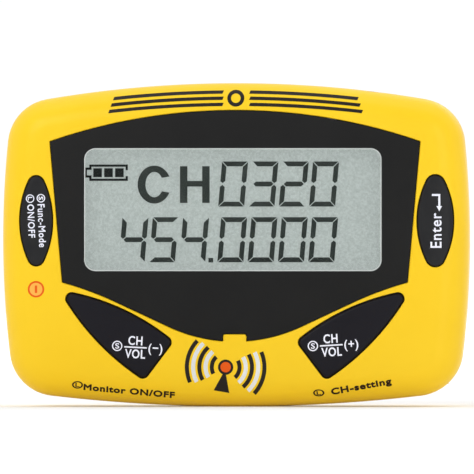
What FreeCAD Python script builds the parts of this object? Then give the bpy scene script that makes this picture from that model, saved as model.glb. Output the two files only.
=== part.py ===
import FreeCAD, Part
import math
import os
import re
import Sketcher
from FreeCAD import Placement, Rotation, Vector

# A pocket receiver in a pager's case, standing on its lower edge with its display towards -Y.
# X runs to the right, Z up. While a piece is drawn, Y = 0 is the seam between the two halves of
# the case (the front is negative) and Z = 0 is the middle of the case's height. Each finished
# sub-part's Placement then moves it into the part's own frame, whose origin is the middle of
# the bottom of the whole object.

SIZES = [
    # the case, seen from the front: four large arcs joined by small corner arcs
    ("case_width", 82.5),
    ("case_height", 57.2),
    ("top_radius", 201),
    ("bottom_radius", 285),
    ("side_radius", 175),
    ("corner_radius", 8.3),
    ("widest_height", 1.1),
    # the case's depth: front half, rear half, walls, the domed front and the rounded edges
    ("front_depth", 11),
    ("rear_depth", 8),
    ("wall", 1.9),
    ("rear_wall", 2.4),
    ("crown_radius", 600),
    ("front_edge", 5.5),
    ("rear_edge", 3),
    ("seam_gap", 0.35),
    ("lip_height", 1.2),
    ("lip_thickness", 0.9),
    ("margin", 2),
    ("fit_gap", 0.1),
    # the black face plate and the tab of the case that pokes into its lower edge
    ("plate_thickness", 1),
    ("plate_gap", 0.12),
    ("plate_arc_radius", 100),
    ("plate_apex", 23.75),
    ("plate_top_half", 32.9),
    ("plate_low_half", 30.7),
    ("plate_low_corner", -6.9),
    ("shoulder_radius", 60),
    ("flank_angle", 25),
    ("belly_radius", 31),
    ("belly_depth", 17.1),
    ("tab_half", 2.1),
    ("tab_top", -15.75),
    ("tab_round", 0.45),
    # the display opening, its collar, lens and the layers of the display behind it
    ("window_width", 52.8),
    ("window_height", 22),
    ("window_across", -0.45),
    ("window_up", 6.2),
    ("window_round", 1.4),
    ("collar_wall", 0.8),
    ("collar_back", -8.6),
    ("lens_recess", 0.3),
    ("lens_thickness", 0.9),
    ("gasket_thickness", 0.45),
    ("glass_width", 56),
    ("glass_height", 25),
    ("glass_front", -7.85),
    ("glass_thickness", 0.55),
    ("film_thickness", 0.2),
    ("film_border", 0.05),
    ("ledge", 1.4),
    ("guide_width", 53),
    ("guide_thickness", 0.4),
    ("frame_wall", 0.8),
    ("frame_front", -7.95),
    ("zebra_length", 50),
    ("zebra_width", 1),
    ("lamp_offset", 0.8),
    ("lamp_width", 1.2),
    ("lamp_height", 2.8),
    # the printed circuit board
    ("board_front", -6.1),
    ("board_thickness", 0.8),
    ("board_inset", 3.3),
    ("board_screw_across", 17),
    ("board_screw_up", 22.2),
    # what stands on the board's back
    ("controller_across", 4),
    ("controller_up", 4),
    ("controller_side", 10),
    ("controller_span", 12),
    ("chip_depth", 1.5),
    ("lead_depth", 0.25),
    ("can_across", -16),
    ("can_up", 3),
    ("can_width", 18),
    ("can_height", 15),
    ("can_depth", 3.2),
    ("can_sheet", 0.3),
    ("filter_across", 16),
    ("filter_up", -3),
    ("filter_width", 11),
    ("filter_height", 4.6),
    ("filter_depth", 3.6),
    ("amplifier_across", 14.5),
    ("amplifier_up", 7.5),
    ("amplifier_width", 4),
    ("amplifier_height", 5),
    ("amplifier_span", 6),
    ("amplifier_row", 4.6),
    ("capacitor_across", 31),
    ("capacitor_low", 3),
    ("capacitor_high", 9.5),
    ("capacitor_radius", 2.5),
    ("capacitor_length", 7),
    ("chip_first", 2.5),
    ("chip_pitch", 3.4),
    ("chip_low", 13.5),
    ("chip_high", 16),
    ("chip_width", 2),
    ("chip_height", 1.2),
    ("chip_rise", 0.6),
    ("antenna_across", -17),
    ("antenna_up", 16.4),
    ("antenna_width", 28),
    ("antenna_height", 8),
    ("antenna_depth", 3.6),
    ("antenna_strap", 0.5),
    # buttons and the switches under them
    ("button_gap", 0.15),
    ("button_back", -7.55),
    ("flange", 0.8),
    ("oval_across", 35.4),
    ("oval_up", 4.25),
    ("oval_side_radius", 18),
    ("oval_end_radius", 1.9),
    ("oval_half_height", 8.25),
    ("inner_tab_start", 1.2),
    ("inner_tab_end", 4),
    ("inner_tab_half", 3.5),
    ("end_tab_shift", 1.2),
    ("end_tab_half", 1),
    ("end_tab_reach", 0.7),
    ("shield_round", 1.1),
    ("shield_top_radius", 58),
    ("shield_side_radius", 37),
    ("shield_outer_across", 28.8),
    ("shield_outer_up", -9.6),
    ("shield_inner_across", 12.27),
    ("shield_inner_up", -17.2),
    ("shield_tip_across", 16.31),
    ("shield_tip_up", -22.7),
    ("oval_switch_across", 34.6),
    ("shield_switch_across", 20.5),
    ("shield_switch_up", -15.5),
    ("switch_side", 4.4),
    ("switch_depth", 0.8),
    ("plunger_radius", 0.8),
    ("plunger_length", 0.85),
    ("plunger_gap", 0.2),
    # screw posts
    ("post_across_high", 34.5),
    ("post_up_high", 19),
    ("post_across_low", 35.6),
    ("post_up_low", -7.6),
    ("post_radius", 2.3),
    ("post_top", -8.3),
    ("column_radius", 3),
    ("counterbore_radius", 2.2),
    ("counterbore_floor", 3),
    ("screw_radius", 1),
    ("screw_head_radius", 1.9),
    ("screw_head_height", 1.4),
    ("screw_tip", -6.5),
    ("screw_clearance", 0.1),
    ("drive_reach", 1.1),
    ("drive_half", 0.25),
    ("small_screw_radius", 0.7),
    ("small_head_radius", 1.5),
    # the cell, its bay and the sliding door
    ("cell_radius", 5.25),
    ("cell_length", 43.3),
    ("nub_radius", 1.9),
    ("nub_length", 1.2),
    ("cell_low_end", -20.3),
    ("cell_up", -17.5),
    ("cell_depth", 1),
    ("bay_left", -27.6),
    ("bay_right", 25.4),
    ("bay_half", 5.8),
    ("bay_floor", -4.4),
    ("bay_wall", 1.4),
    ("tub_half", 7.2),
    ("tub_back", 6.3),
    ("tub_foot_right", 30.5),
    ("tub_foot_sink", 0.2),
    ("door_left", -27.5),
    ("door_half", 5.9),
    ("door_inner", 6.5),
    ("door_gap", 0.15),
    ("tongue_half", 6.8),
    ("tongue_back", 7.1),
    ("tongue_right", 36.5),
    ("end_wall_left", 37.6),
    ("end_wall_front", 2),
    ("ridge_height", 0.3),
    ("ridge_pitch", 1.5),
    ("ridge_half", 3.4),
    ("ridge_start", 29.5),
    ("contact_thickness", 0.4),
    ("contact_half", 4.2),
    ("coil_wide", 3.8),
    ("coil_narrow", 2.3),
    ("coil_wire", 0.4),
    # the belt clip and its hinge
    ("clip_half_width", 10),
    ("clip_inner", 12.6),
    ("clip_thickness", 1.8),
    ("clip_top", 25),
    ("clip_low", -21.5),
    ("clip_corner", 4),
    ("foot_face", 8.8),
    ("foot_bevel", 1.3),
    ("foot_flat", 0.8),
    ("foot_height", 3),
    ("groove_start", 2.6),
    ("groove_pitch", 1.4),
    ("groove_width", 0.7),
    ("groove_half", 7),
    ("groove_depth", 0.45),
    ("pivot_depth", 10.8),
    ("pivot_up", 16),
    ("pin_radius", 1),
    ("pin_fit", 0.05),
    ("knuckle_radius", 2.2),
    ("lug_radius", 1.6),
    ("lug_inner", 3.6),
    ("lug_width", 2.4),
    ("ear_gap", 0.3),
    ("ear_width", 2.2),
    ("spring_wire", 0.3),
    ("spring_coil_radius", 1.4),
    ("spring_inset", 0.6),
    ("case_leg_length", 6.6),
    ("clip_leg_length", 5.3),
    # the earphone jack, under the upper edge of the case
    ("jack_across", 24),
    ("jack_depth", -3.1),
    ("jack_bore", 1.8),
    ("jack_mouth", 26.75),
    ("jack_length", 14.3),
    ("nose_radius", 2.4),
    ("nose_gap", 0.15),
    ("jack_body_top", 24.1),
    ("jack_body_low", 11.4),
    ("jack_body_half", 3.4),
    ("jack_body_back", -0.9),
]
ALIASES = {alias for alias, value in SIZES}

doc = FreeCAD.newDocument("PocketReceiver")
sheet = doc.addObject("Spreadsheet::Sheet", "Sizes")
for row, (alias, value) in enumerate(SIZES, start=1):
    sheet.set(f"A{row}", alias)
    sheet.set(f"B{row}", str(value))
    sheet.setAlias(f"B{row}", alias)
doc.recompute()

FRAME_SHIFT_Y = "(front_depth - clip_inner - clip_thickness) / 2"
FRAME_SHIFT_Z = "case_height / 2"
BOARD_BACK = "board_front + board_thickness"
places = {}
sub_parts = []


# ---------------------------------------------------------------- sizes and expressions

def size(alias):
    """The number that the sheet holds under this alias."""
    return float(sheet.get(alias))


def formula(text):
    """An expression in which each of the sheet's aliases is written out as Sizes.alias."""
    return re.sub(r"[a-z_]+", lambda word: "Sizes." * (word.group() in ALIASES) + word.group(), str(text))


def bind(item, **properties):
    """Bind properties, given by name, to expressions of the sheet's cells."""
    for name, text in properties.items():
        item.setExpression(name, formula(text))


def put(item, x=0, y=0, z=0):
    """Place an object by expressions, and remember them for its move into the part's frame."""
    corner = {"x": x, "y": y, "z": z}
    for axis, text in corner.items():
        item.setExpression("Placement.Base." + axis, formula(text))
    places[item.Name] = corner
    return item


def sub_part(item, label):
    """Name a finished piece and move it into the part's own frame."""
    corner = places.get(item.Name, {"x": 0, "y": 0, "z": 0})
    put(item, corner["x"], f"{corner['y']} + {FRAME_SHIFT_Y}", f"{corner['z']} + {FRAME_SHIFT_Z}")
    item.Label = label
    sub_parts.append(item)
    return item


# ---------------------------------------------------------------- primitives and booleans

TURN_TO = {
    "x": Rotation(Vector(0, 1, 0), 90),
    "y": Rotation(Vector(1, 0, 0), -90),
    "z": Rotation(),
}


def block(name, x, y, z):
    """A box between two expressions along each axis."""
    item = doc.addObject("Part::Box", name)
    bind(item, Length=f"({x[1]}) - ({x[0]})", Width=f"({y[1]}) - ({y[0]})", Height=f"({z[1]}) - ({z[0]})")
    return put(item, x[0], y[0], z[0])


def rod(name, radius, length, axis, x, y, z):
    """A cylinder that runs from (x, y, z) along an axis."""
    item = doc.addObject("Part::Cylinder", name)
    item.Placement = Placement(Vector(), TURN_TO[axis])
    bind(item, Radius=radius, Height=length)
    return put(item, x, y, z)


def ring(name, radius, wire, x, y, z):
    """A torus whose axis is parallel to X."""
    item = doc.addObject("Part::Torus", name)
    item.Placement = Placement(Vector(), TURN_TO["x"])
    bind(item, Radius1=radius, Radius2=wire)
    return put(item, x, y, z)


def ball(name, inset):
    """The sphere that the domed front follows, taken in by an inset."""
    item = doc.addObject("Part::Sphere", name)
    bind(item, Radius=f"crown_radius - ({inset})")
    return put(item, y="crown_radius - front_depth")


def cut(name, base, tool):
    item = doc.addObject("Part::Cut", name)
    item.Base = base
    item.Tool = tool
    item.Refine = False
    return item


def common(name, first, second):
    item = doc.addObject("Part::Common", name)
    item.Base = first
    item.Tool = second
    item.Refine = False
    return item


def fuse(name, base, tool):
    item = doc.addObject("Part::Fuse", name)
    item.Base = base
    item.Tool = tool
    item.Refine = False
    return item


def join(name, pieces):
    item = doc.addObject("Part::MultiFuse", name)
    item.Shapes = pieces
    item.Refine = False
    return item


def offset(name, source, distance):
    """A closed outline moved outwards, or inwards where the distance is negative."""
    item = doc.addObject("Part::Offset2D", name)
    item.Source = source
    bind(item, Value=distance)
    return item


def prism(name, outline, length, direction=Vector(0, 1, 0)):
    """A solid swept from an outline, towards the rear unless another direction is given."""
    item = doc.addObject("Part::Extrusion", name)
    item.Base = outline
    item.DirMode = "Custom"
    item.Dir = direction
    item.Solid = True
    bind(item, LengthFwd=length)
    return item


def to_depth(y):
    """The length of a prism that starts at the working plane in front of the case."""
    return f"front_depth + margin + ({y})"


# ---------------------------------------------------------------- sketches

AXIS_X = -1
AXIS_Y = -2
START = 1
END = 2
CENTRE = 3


def face_sketch(name, y):
    """A free sketch in a plane parallel to the case's front, at depth y."""
    sketch = doc.addObject("Sketcher::SketchObject", name)
    sketch.Placement = Placement(Vector(), Rotation(Vector(1, 0, 0), 90))
    return put(sketch, y=y)


def arc(centre, radius, first, last):
    """The arc that runs counter-clockwise between the directions of two points."""
    start = math.atan2(first.y - centre.y, first.x - centre.x)
    end = math.atan2(last.y - centre.y, last.x - centre.x)
    if end < start:
        end += 2 * math.pi
    return Part.ArcOfCircle(Part.Circle(centre, Vector(0, 0, 1), radius), start, end)


def draw(sketch, pieces):
    """Draw a closed outline. Each piece is its curve, the ends by which the outline comes in
    and goes out, and how it meets the next piece."""
    for curve, enter, leave, joint in pieces:
        sketch.addGeometry(curve, False)
    for number, (curve, enter, leave, joint) in enumerate(pieces):
        following = (number + 1) % len(pieces)
        sketch.addConstraint(Sketcher.Constraint(joint, number, leave, following, pieces[following][1]))


def dimension(sketch, constraint, name, text):
    index = sketch.addConstraint(constraint)
    sketch.renameConstraint(index, name)
    sketch.setExpression("Constraints." + name, formula(text))


def set_radius(sketch, number, name, text):
    radius = sketch.Geometry[number].Radius
    dimension(sketch, Sketcher.Constraint("Radius", number, radius), name, text)


def set_point(sketch, number, point, name, across=None, up=None):
    """Tie a point of the sketch to the sketch's origin, across, up or both."""
    here = sketch.getPoint(number, point)
    if across is not None:
        tie = Sketcher.Constraint("DistanceX", AXIS_X, START, number, point, here.x)
        dimension(sketch, tie, name + "_across", across)
    if up is not None:
        tie = Sketcher.Constraint("DistanceY", AXIS_X, START, number, point, here.y)
        dimension(sketch, tie, name + "_up", up)


def on_middle(sketch, number):
    """Keep an arc's centre on the sketch's upright axis."""
    sketch.addConstraint(Sketcher.Constraint("PointOnObject", number, CENTRE, AXIS_Y))


def circle_crossings(first, first_radius, second, second_radius):
    """The two points at given distances from two centres."""
    line = second - first
    gap = line.Length
    along = (first_radius ** 2 - second_radius ** 2 + gap ** 2) / (2 * gap)
    aside = math.sqrt(first_radius ** 2 - along ** 2)
    line.normalize()
    foot = first + line * along
    normal = Vector(-line.y, line.x, 0)
    return foot + normal * aside, foot - normal * aside


def case_outline(sketch, insets=()):
    """Eight tangent arcs: right side, corner, top, corner, left side, corner, bottom, corner.
    The insets are aliases whose sum every radius is smaller by."""
    inset = sum(size(alias) for alias in insets)
    inset_text = "".join(" - " + alias for alias in insets)
    half_width = size("case_width") / 2
    half_height = size("case_height") / 2
    corner = size("corner_radius")
    big_arcs = [
        (Vector(half_width - size("side_radius"), size("widest_height"), 0), "side_radius"),
        (Vector(0, half_height - size("top_radius"), 0), "top_radius"),
        (Vector(size("side_radius") - half_width, size("widest_height"), 0), "side_radius"),
        (Vector(0, size("bottom_radius") - half_height, 0), "bottom_radius"),
    ]
    corner_signs = [(1, 1), (-1, 1), (-1, -1), (1, -1)]
    corners = []
    for number, (across, up) in enumerate(corner_signs):
        centre, radius = big_arcs[number]
        next_centre, next_radius = big_arcs[(number + 1) % 4]
        found = circle_crossings(centre, size(radius) - corner, next_centre, size(next_radius) - corner)
        corners.append(next(p for p in found if p.x * across > 0 and p.y * up > 0))
    pieces = []
    radii = []
    for number, (centre, radius) in enumerate(big_arcs):
        before = corners[number - 1]
        after = corners[number]
        following = big_arcs[(number + 1) % 4][0]
        from_following = after + (after - following)
        from_centre = after + (after - centre)
        pieces.append((arc(centre, size(radius) - inset, before, after), START, END, "Tangent"))
        pieces.append((arc(after, corner - inset, from_centre, from_following), START, END, "Tangent"))
        radii += [radius, "corner_radius"]
    draw(sketch, pieces)
    for number, radius in enumerate(radii):
        set_radius(sketch, number, f"radius_{'abcdefgh'[number]}", radius + inset_text)
    set_point(sketch, 0, CENTRE, "right", "case_width / 2 - side_radius", "widest_height")
    set_point(sketch, 4, CENTRE, "left", "side_radius - case_width / 2", "widest_height")
    set_point(sketch, 2, CENTRE, "top", up="case_height / 2 - top_radius")
    set_point(sketch, 6, CENTRE, "bottom", up="bottom_radius - case_height / 2")
    on_middle(sketch, 2)
    on_middle(sketch, 6)
    return sketch


def plate_outline():
    """The face plate: a long arc on top, sides that lean in, and a lower edge that falls from a
    shoulder along a straight flank into a belly, with a notch for the case's tab."""
    sketch = face_sketch("plate_outline", "-(front_depth + margin)")
    top_centre = Vector(0, size("plate_apex") - size("plate_arc_radius"), 0)
    top_half = size("plate_top_half")
    top_up = top_centre.y + math.sqrt(size("plate_arc_radius") ** 2 - top_half ** 2)
    belly_centre = Vector(0, size("belly_radius") - size("belly_depth"), 0)
    lean = math.radians(size("flank_angle"))
    along = Vector(math.cos(lean), math.sin(lean), 0)
    below = Vector(math.sin(lean), -math.cos(lean), 0)
    flank_low = belly_centre + below * size("belly_radius")
    low_corner = Vector(size("plate_low_half"), size("plate_low_corner"), 0)
    # the shoulder's centre lies beyond the flank and one shoulder radius from the low corner
    reach = low_corner - flank_low - below * size("shoulder_radius")
    run = reach.dot(along) - math.sqrt(
        reach.dot(along) ** 2 - reach.dot(reach) + size("shoulder_radius") ** 2)
    flank_high = flank_low + along * run
    shoulder_centre = flank_high + below * size("shoulder_radius")
    tab = size("tab_half")
    tab_round = size("tab_round")
    tab_top = size("tab_top")
    tab_foot = belly_centre.y - math.sqrt(size("belly_radius") ** 2 - tab ** 2)
    round_centre = Vector(tab - tab_round, tab_top - tab_round, 0)

    def flip(point):
        return Vector(-point.x, point.y, 0)

    top_right = Vector(top_half, top_up, 0)
    foot = Vector(tab, tab_foot, 0)
    tab_side = Vector(tab, round_centre.y, 0)
    tab_over = Vector(round_centre.x, tab_top, 0)
    line = Part.LineSegment
    pieces = [
        (arc(top_centre, size("plate_arc_radius"), top_right, flip(top_right)), START, END, "Coincident"),
        (line(flip(top_right), flip(low_corner)), START, END, "Coincident"),
        (arc(flip(shoulder_centre), size("shoulder_radius"), flip(flank_high), flip(low_corner)),
         END, START, "Tangent"),
        (line(flip(flank_high), flip(flank_low)), START, END, "Tangent"),
        (arc(belly_centre, size("belly_radius"), flip(flank_low), flip(foot)), START, END, "Coincident"),
        (line(flip(foot), flip(tab_side)), START, END, "Tangent"),
        (arc(flip(round_centre), tab_round, flip(tab_over), flip(tab_side)), END, START, "Tangent"),
        (line(flip(tab_over), tab_over), START, END, "Tangent"),
        (arc(round_centre, tab_round, tab_side, tab_over), END, START, "Tangent"),
        (line(tab_side, foot), START, END, "Coincident"),
        (arc(belly_centre, size("belly_radius"), foot, flank_low), START, END, "Tangent"),
        (line(flank_low, flank_high), START, END, "Tangent"),
        (arc(shoulder_centre, size("shoulder_radius"), low_corner, flank_high), END, START, "Coincident"),
        (line(low_corner, top_right), START, END, "Coincident"),
    ]
    draw(sketch, pieces)
    for number, name, text in (
            (0, "over", "plate_arc_radius"), (2, "shoulder_left", "shoulder_radius"),
            (12, "shoulder_right", "shoulder_radius"), (4, "belly_left", "belly_radius"),
            (10, "belly_right", "belly_radius"), (6, "tab_left", "tab_round"),
            (8, "tab_right", "tab_round")):
        set_radius(sketch, number, name, text)
    for number in (0, 4, 10):
        on_middle(sketch, number)
    set_point(sketch, 0, CENTRE, "over", up="plate_apex - plate_arc_radius")
    set_point(sketch, 4, CENTRE, "belly_left", up="belly_radius - belly_depth")
    set_point(sketch, 10, CENTRE, "belly_right", up="belly_radius - belly_depth")
    set_point(sketch, 0, START, "high_right", across="plate_top_half")
    set_point(sketch, 0, END, "high_left", across="-plate_top_half")
    set_point(sketch, 13, START, "low_right", "plate_low_half", "plate_low_corner")
    set_point(sketch, 1, END, "low_left", "-plate_low_half", "plate_low_corner")
    for number, name in ((11, "lean_right"), (3, "lean_left")):
        angle = lean if number == 11 else -lean
        sign = "" if number == 11 else "-"
        dimension(sketch, Sketcher.Constraint("Angle", number, angle), name, sign + "flank_angle * 1 deg")
    for number in (5, 9):
        sketch.addConstraint(Sketcher.Constraint("Vertical", number))
    sketch.addConstraint(Sketcher.Constraint("Horizontal", 7))
    set_point(sketch, 7, START, "tab_over", up="tab_top")
    set_point(sketch, 5, START, "tab_left", across="-tab_half")
    set_point(sketch, 9, END, "tab_right", across="tab_half")
    return sketch


def rounded_rectangle(sketch, across, up, width, height, radius):
    """A rectangle with rounded corners. Each size is its expression and its present value."""
    half_width = width[1] / 2
    half_height = height[1] / 2
    round_off = radius[1]
    middle = Vector(across[1], up[1], 0)
    signs = [(1, 1), (-1, 1), (-1, -1), (1, -1)]
    centres = [middle + Vector(s * (half_width - round_off), t * (half_height - round_off), 0)
               for s, t in signs]
    outward = [Vector(1, 0, 0), Vector(0, 1, 0), Vector(-1, 0, 0), Vector(0, -1, 0)]
    pieces = []
    for number, centre in enumerate(centres):
        following = centres[(number + 1) % 4]
        start = outward[number]
        end = outward[(number + 1) % 4]
        pieces.append((arc(centre, round_off, centre + start, centre + end), START, END, "Tangent"))
        pieces.append((Part.LineSegment(centre + end * round_off, following + end * round_off),
                       START, END, "Tangent"))
    draw(sketch, pieces)
    for number in (1, 5):
        sketch.addConstraint(Sketcher.Constraint("Horizontal", number))
    for number in (3, 7):
        sketch.addConstraint(Sketcher.Constraint("Vertical", number))
    for number in (0, 2, 4, 6):
        set_radius(sketch, number, f"corner_{'abcd'[number // 2]}", radius[0])
    set_point(sketch, 1, START, "over", up=f"{up[0]} + ({height[0]}) / 2")
    set_point(sketch, 5, START, "under", up=f"{up[0]} - ({height[0]}) / 2")
    set_point(sketch, 3, START, "left", across=f"{across[0]} - ({width[0]}) / 2")
    set_point(sketch, 7, START, "right", across=f"{across[0]} + ({width[0]}) / 2")
    return sketch


def shield_outline(name, side):
    """A lower button: two bowed edges and a straight inner one, with small round corners. Side
    is 1 on the right and -1 on the left."""
    sketch = face_sketch(name, "-(front_depth + margin)")
    small = size("shield_round")
    corners = {part: Vector(side * size(f"shield_{part}_across"), size(f"shield_{part}_up"), 0)
               for part in ("outer", "inner", "tip")}

    def bow_centre(first, last, radius, away):
        """The centre of the large arc that touches both corner arcs, on the far side from away."""
        found = circle_crossings(first, radius - small, last, radius - small)
        return max(found, key=lambda point: (point - away).Length)

    over = bow_centre(corners["outer"], corners["inner"], size("shield_top_radius"),
                      corners["outer"] + Vector(-side, 3, 0) * size("shield_top_radius"))
    aside = bow_centre(corners["outer"], corners["tip"], size("shield_side_radius"),
                       corners["outer"] + Vector(side, -1, 0) * size("shield_side_radius"))
    straight = (corners["tip"] - corners["inner"]).normalize()
    inward = Vector(-straight.y, straight.x, 0) * side
    edge = -inward * small

    def touch(corner, centre):
        return corner + (corner - centre).normalize() * small

    def corner_arc(part, first, last):
        if side < 0:
            first, last = last, first
        return arc(corners[part], small, first, last)

    def bow(centre, radius, first, last):
        if side < 0:
            first, last = last, first
        return arc(centre, radius, first, last)

    enter, leave = (START, END) if side > 0 else (END, START)
    outer_top = touch(corners["outer"], over)
    inner_top = touch(corners["inner"], over)
    outer_side = touch(corners["outer"], aside)
    tip_side = touch(corners["tip"], aside)
    inner_edge = corners["inner"] + edge
    tip_edge = corners["tip"] + edge
    pieces = [
        (bow(over, size("shield_top_radius"), outer_top, inner_top), enter, leave, "Tangent"),
        (corner_arc("inner", inner_top, inner_edge), enter, leave, "Tangent"),
        (Part.LineSegment(inner_edge, tip_edge), START, END, "Tangent"),
        (corner_arc("tip", tip_edge, tip_side), enter, leave, "Tangent"),
        (bow(aside, size("shield_side_radius"), tip_side, outer_side), enter, leave, "Tangent"),
        (corner_arc("outer", outer_side, outer_top), enter, leave, "Tangent"),
    ]
    draw(sketch, pieces)
    set_radius(sketch, 0, "top_bow", "shield_top_radius")
    set_radius(sketch, 4, "side_bow", "shield_side_radius")
    for number, part in ((1, "inner"), (3, "tip"), (5, "outer")):
        set_radius(sketch, number, part + "_round", "shield_round")
        set_point(sketch, number, CENTRE, part, f"{side} * shield_{part}_across", f"shield_{part}_up")
    return sketch


def oval_outline(name, side):
    """An upper button: an upright oval of two long side arcs and two small end arcs."""
    sketch = face_sketch(name, "-(front_depth + margin)")
    side_radius = size("oval_side_radius")
    end_radius = size("oval_end_radius")
    rise = size("oval_half_height") - end_radius
    middle = Vector(side * size("oval_across"), size("oval_up"), 0)
    reach = Vector(math.sqrt((side_radius - end_radius) ** 2 - rise ** 2), 0, 0)
    top = middle + Vector(0, rise, 0)
    bottom = middle - Vector(0, rise, 0)
    left_centre = middle - reach
    right_centre = middle + reach
    pieces = [
        (arc(left_centre, side_radius, bottom, top), START, END, "Tangent"),
        (arc(top, end_radius, top * 2 - left_centre, top * 2 - right_centre), START, END, "Tangent"),
        (arc(right_centre, side_radius, top, bottom), START, END, "Tangent"),
        (arc(bottom, end_radius, bottom * 2 - right_centre, bottom * 2 - left_centre),
         START, END, "Tangent"),
    ]
    draw(sketch, pieces)
    for number, radius in enumerate(("oval_side_radius", "oval_end_radius") * 2):
        set_radius(sketch, number, f"radius_{'abcd'[number]}", radius)
    rise_text = "oval_half_height - oval_end_radius"
    set_point(sketch, 1, CENTRE, "top", f"{side} * oval_across", f"oval_up + {rise_text}")
    set_point(sketch, 3, CENTRE, "bottom", f"{side} * oval_across", f"oval_up - ({rise_text})")
    return sketch


# ---------------------------------------------------------------- the case's solid forms

def origin_plane(body, role):
    return next(item for item in body.Origin.OriginFeatures if item.Role == role)


def attach(sketch, body, role):
    sketch.AttachmentSupport = [(origin_plane(body, role), "")]
    sketch.MapMode = "FlatFace"


def edges_of(feature, face):
    return [f"Edge{number}" for number, edge in enumerate(feature.Shape.Edges, start=1)
            if any(edge.isSame(side) for side in face.Edges)]


def form(name, insets, depth, front):
    """A solid body with the case's outline: the front one is domed and has a wide rounding,
    the rear one is flat and has a narrow rounding."""
    body = doc.addObject("PartDesign::Body", name)
    inset_text = "".join(" - " + alias for alias in insets)
    sketch = body.newObject("Sketcher::SketchObject", name + "_outline")
    attach(sketch, body, "XZ_Plane")
    case_outline(sketch, insets)
    pad = body.newObject("PartDesign::Pad", name + "_pad")
    pad.Profile = sketch
    pad.Reversed = not front
    bind(pad, Length=depth)
    doc.recompute()
    base = pad
    if front:
        base = crown(body, name, pad, inset_text)
        face = next(face for face in base.Shape.Faces if isinstance(face.Surface, Part.Sphere))
        rounding = "front_edge" + inset_text
    else:
        face = max(base.Shape.Faces, key=lambda face: face.CenterOfMass.y)
        rounding = "rear_edge" + inset_text
    fillet = body.newObject("PartDesign::Fillet", name + "_round")
    fillet.Base = (base, edges_of(base, face))
    bind(fillet, Radius=rounding)
    doc.recompute()
    return body


def crown(body, name, pad, inset_text):
    """Dome a front form by turning away what lies outside the crown sphere."""
    sketch = body.newObject("Sketcher::SketchObject", name + "_crown")
    attach(sketch, body, "XY_Plane")
    radius = size("crown_radius")
    centre = Vector(0, radius - size("front_depth"), 0)
    reach = size("case_width")
    apex = Vector(0, centre.y - radius, 0)
    rim = Vector(reach, centre.y - math.sqrt(radius ** 2 - reach ** 2), 0)
    far = apex.y - size("margin")
    pieces = [
        (arc(centre, radius, apex, rim), START, END, "Coincident"),
        (Part.LineSegment(rim, Vector(reach, far, 0)), START, END, "Coincident"),
        (Part.LineSegment(Vector(reach, far, 0), Vector(0, far, 0)), START, END, "Coincident"),
        (Part.LineSegment(Vector(0, far, 0), apex), START, END, "Coincident"),
    ]
    draw(sketch, pieces)
    set_radius(sketch, 0, "crown", "crown_radius" + inset_text)
    on_middle(sketch, 0)
    set_point(sketch, 0, CENTRE, "crown", up="crown_radius - front_depth")
    set_point(sketch, 0, END, "rim", across="case_width")
    sketch.addConstraint(Sketcher.Constraint("Vertical", 1))
    sketch.addConstraint(Sketcher.Constraint("Horizontal", 2))
    sketch.addConstraint(Sketcher.Constraint("Vertical", 3))
    sketch.addConstraint(Sketcher.Constraint("PointOnObject", 3, START, AXIS_Y))
    set_point(sketch, 2, START, "far", up="-(front_depth + margin)")
    groove = body.newObject("PartDesign::Groove", name + "_dome")
    groove.Profile = sketch
    groove.ReferenceAxis = (sketch, ["V_Axis"])
    groove.Angle = 360
    doc.recompute()
    return groove


# ---------------------------------------------------------------- shared outlines and forms

front_form = form("front_form", (), "front_depth", True)
front_hollow = form("front_hollow", ("wall",), "front_depth - wall", True)
flange_limit = form("flange_limit", ("wall", "fit_gap"), "front_depth - wall", True)
rear_form = form("rear_form", (), "rear_depth", False)
rear_hollow = form("rear_hollow", ("rear_wall",), "rear_depth - wall", False)

plate_edge = plate_outline()
window_edge = rounded_rectangle(
    face_sketch("window_outline", "-(front_depth + margin)"),
    ("window_across", size("window_across")), ("window_up", size("window_up")),
    ("window_width", size("window_width")), ("window_height", size("window_height")),
    ("window_round", size("window_round")))
button_edges = {
    "mode": oval_outline("mode_outline", -1),
    "enter": oval_outline("enter_outline", 1),
    "down": shield_outline("down_outline", -1),
    "up": shield_outline("up_outline", 1),
}
SWITCH_PLACES = {
    "mode": ("-oval_switch_across", "oval_up"),
    "enter": ("oval_switch_across", "oval_up"),
    "down": ("-shield_switch_across", "shield_switch_up"),
    "up": ("shield_switch_across", "shield_switch_up"),
}
POST_PLACES = {
    "high_left": ("-post_across_high", "post_up_high"),
    "high_right": ("post_across_high", "post_up_high"),
    "low_left": ("-post_across_low", "post_up_low"),
    "low_right": ("post_across_low", "post_up_low"),
}
BOARD_SCREW_PLACES = {"left": "-board_screw_across", "right": "board_screw_across"}


# ---------------------------------------------------------------- front of the case

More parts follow.
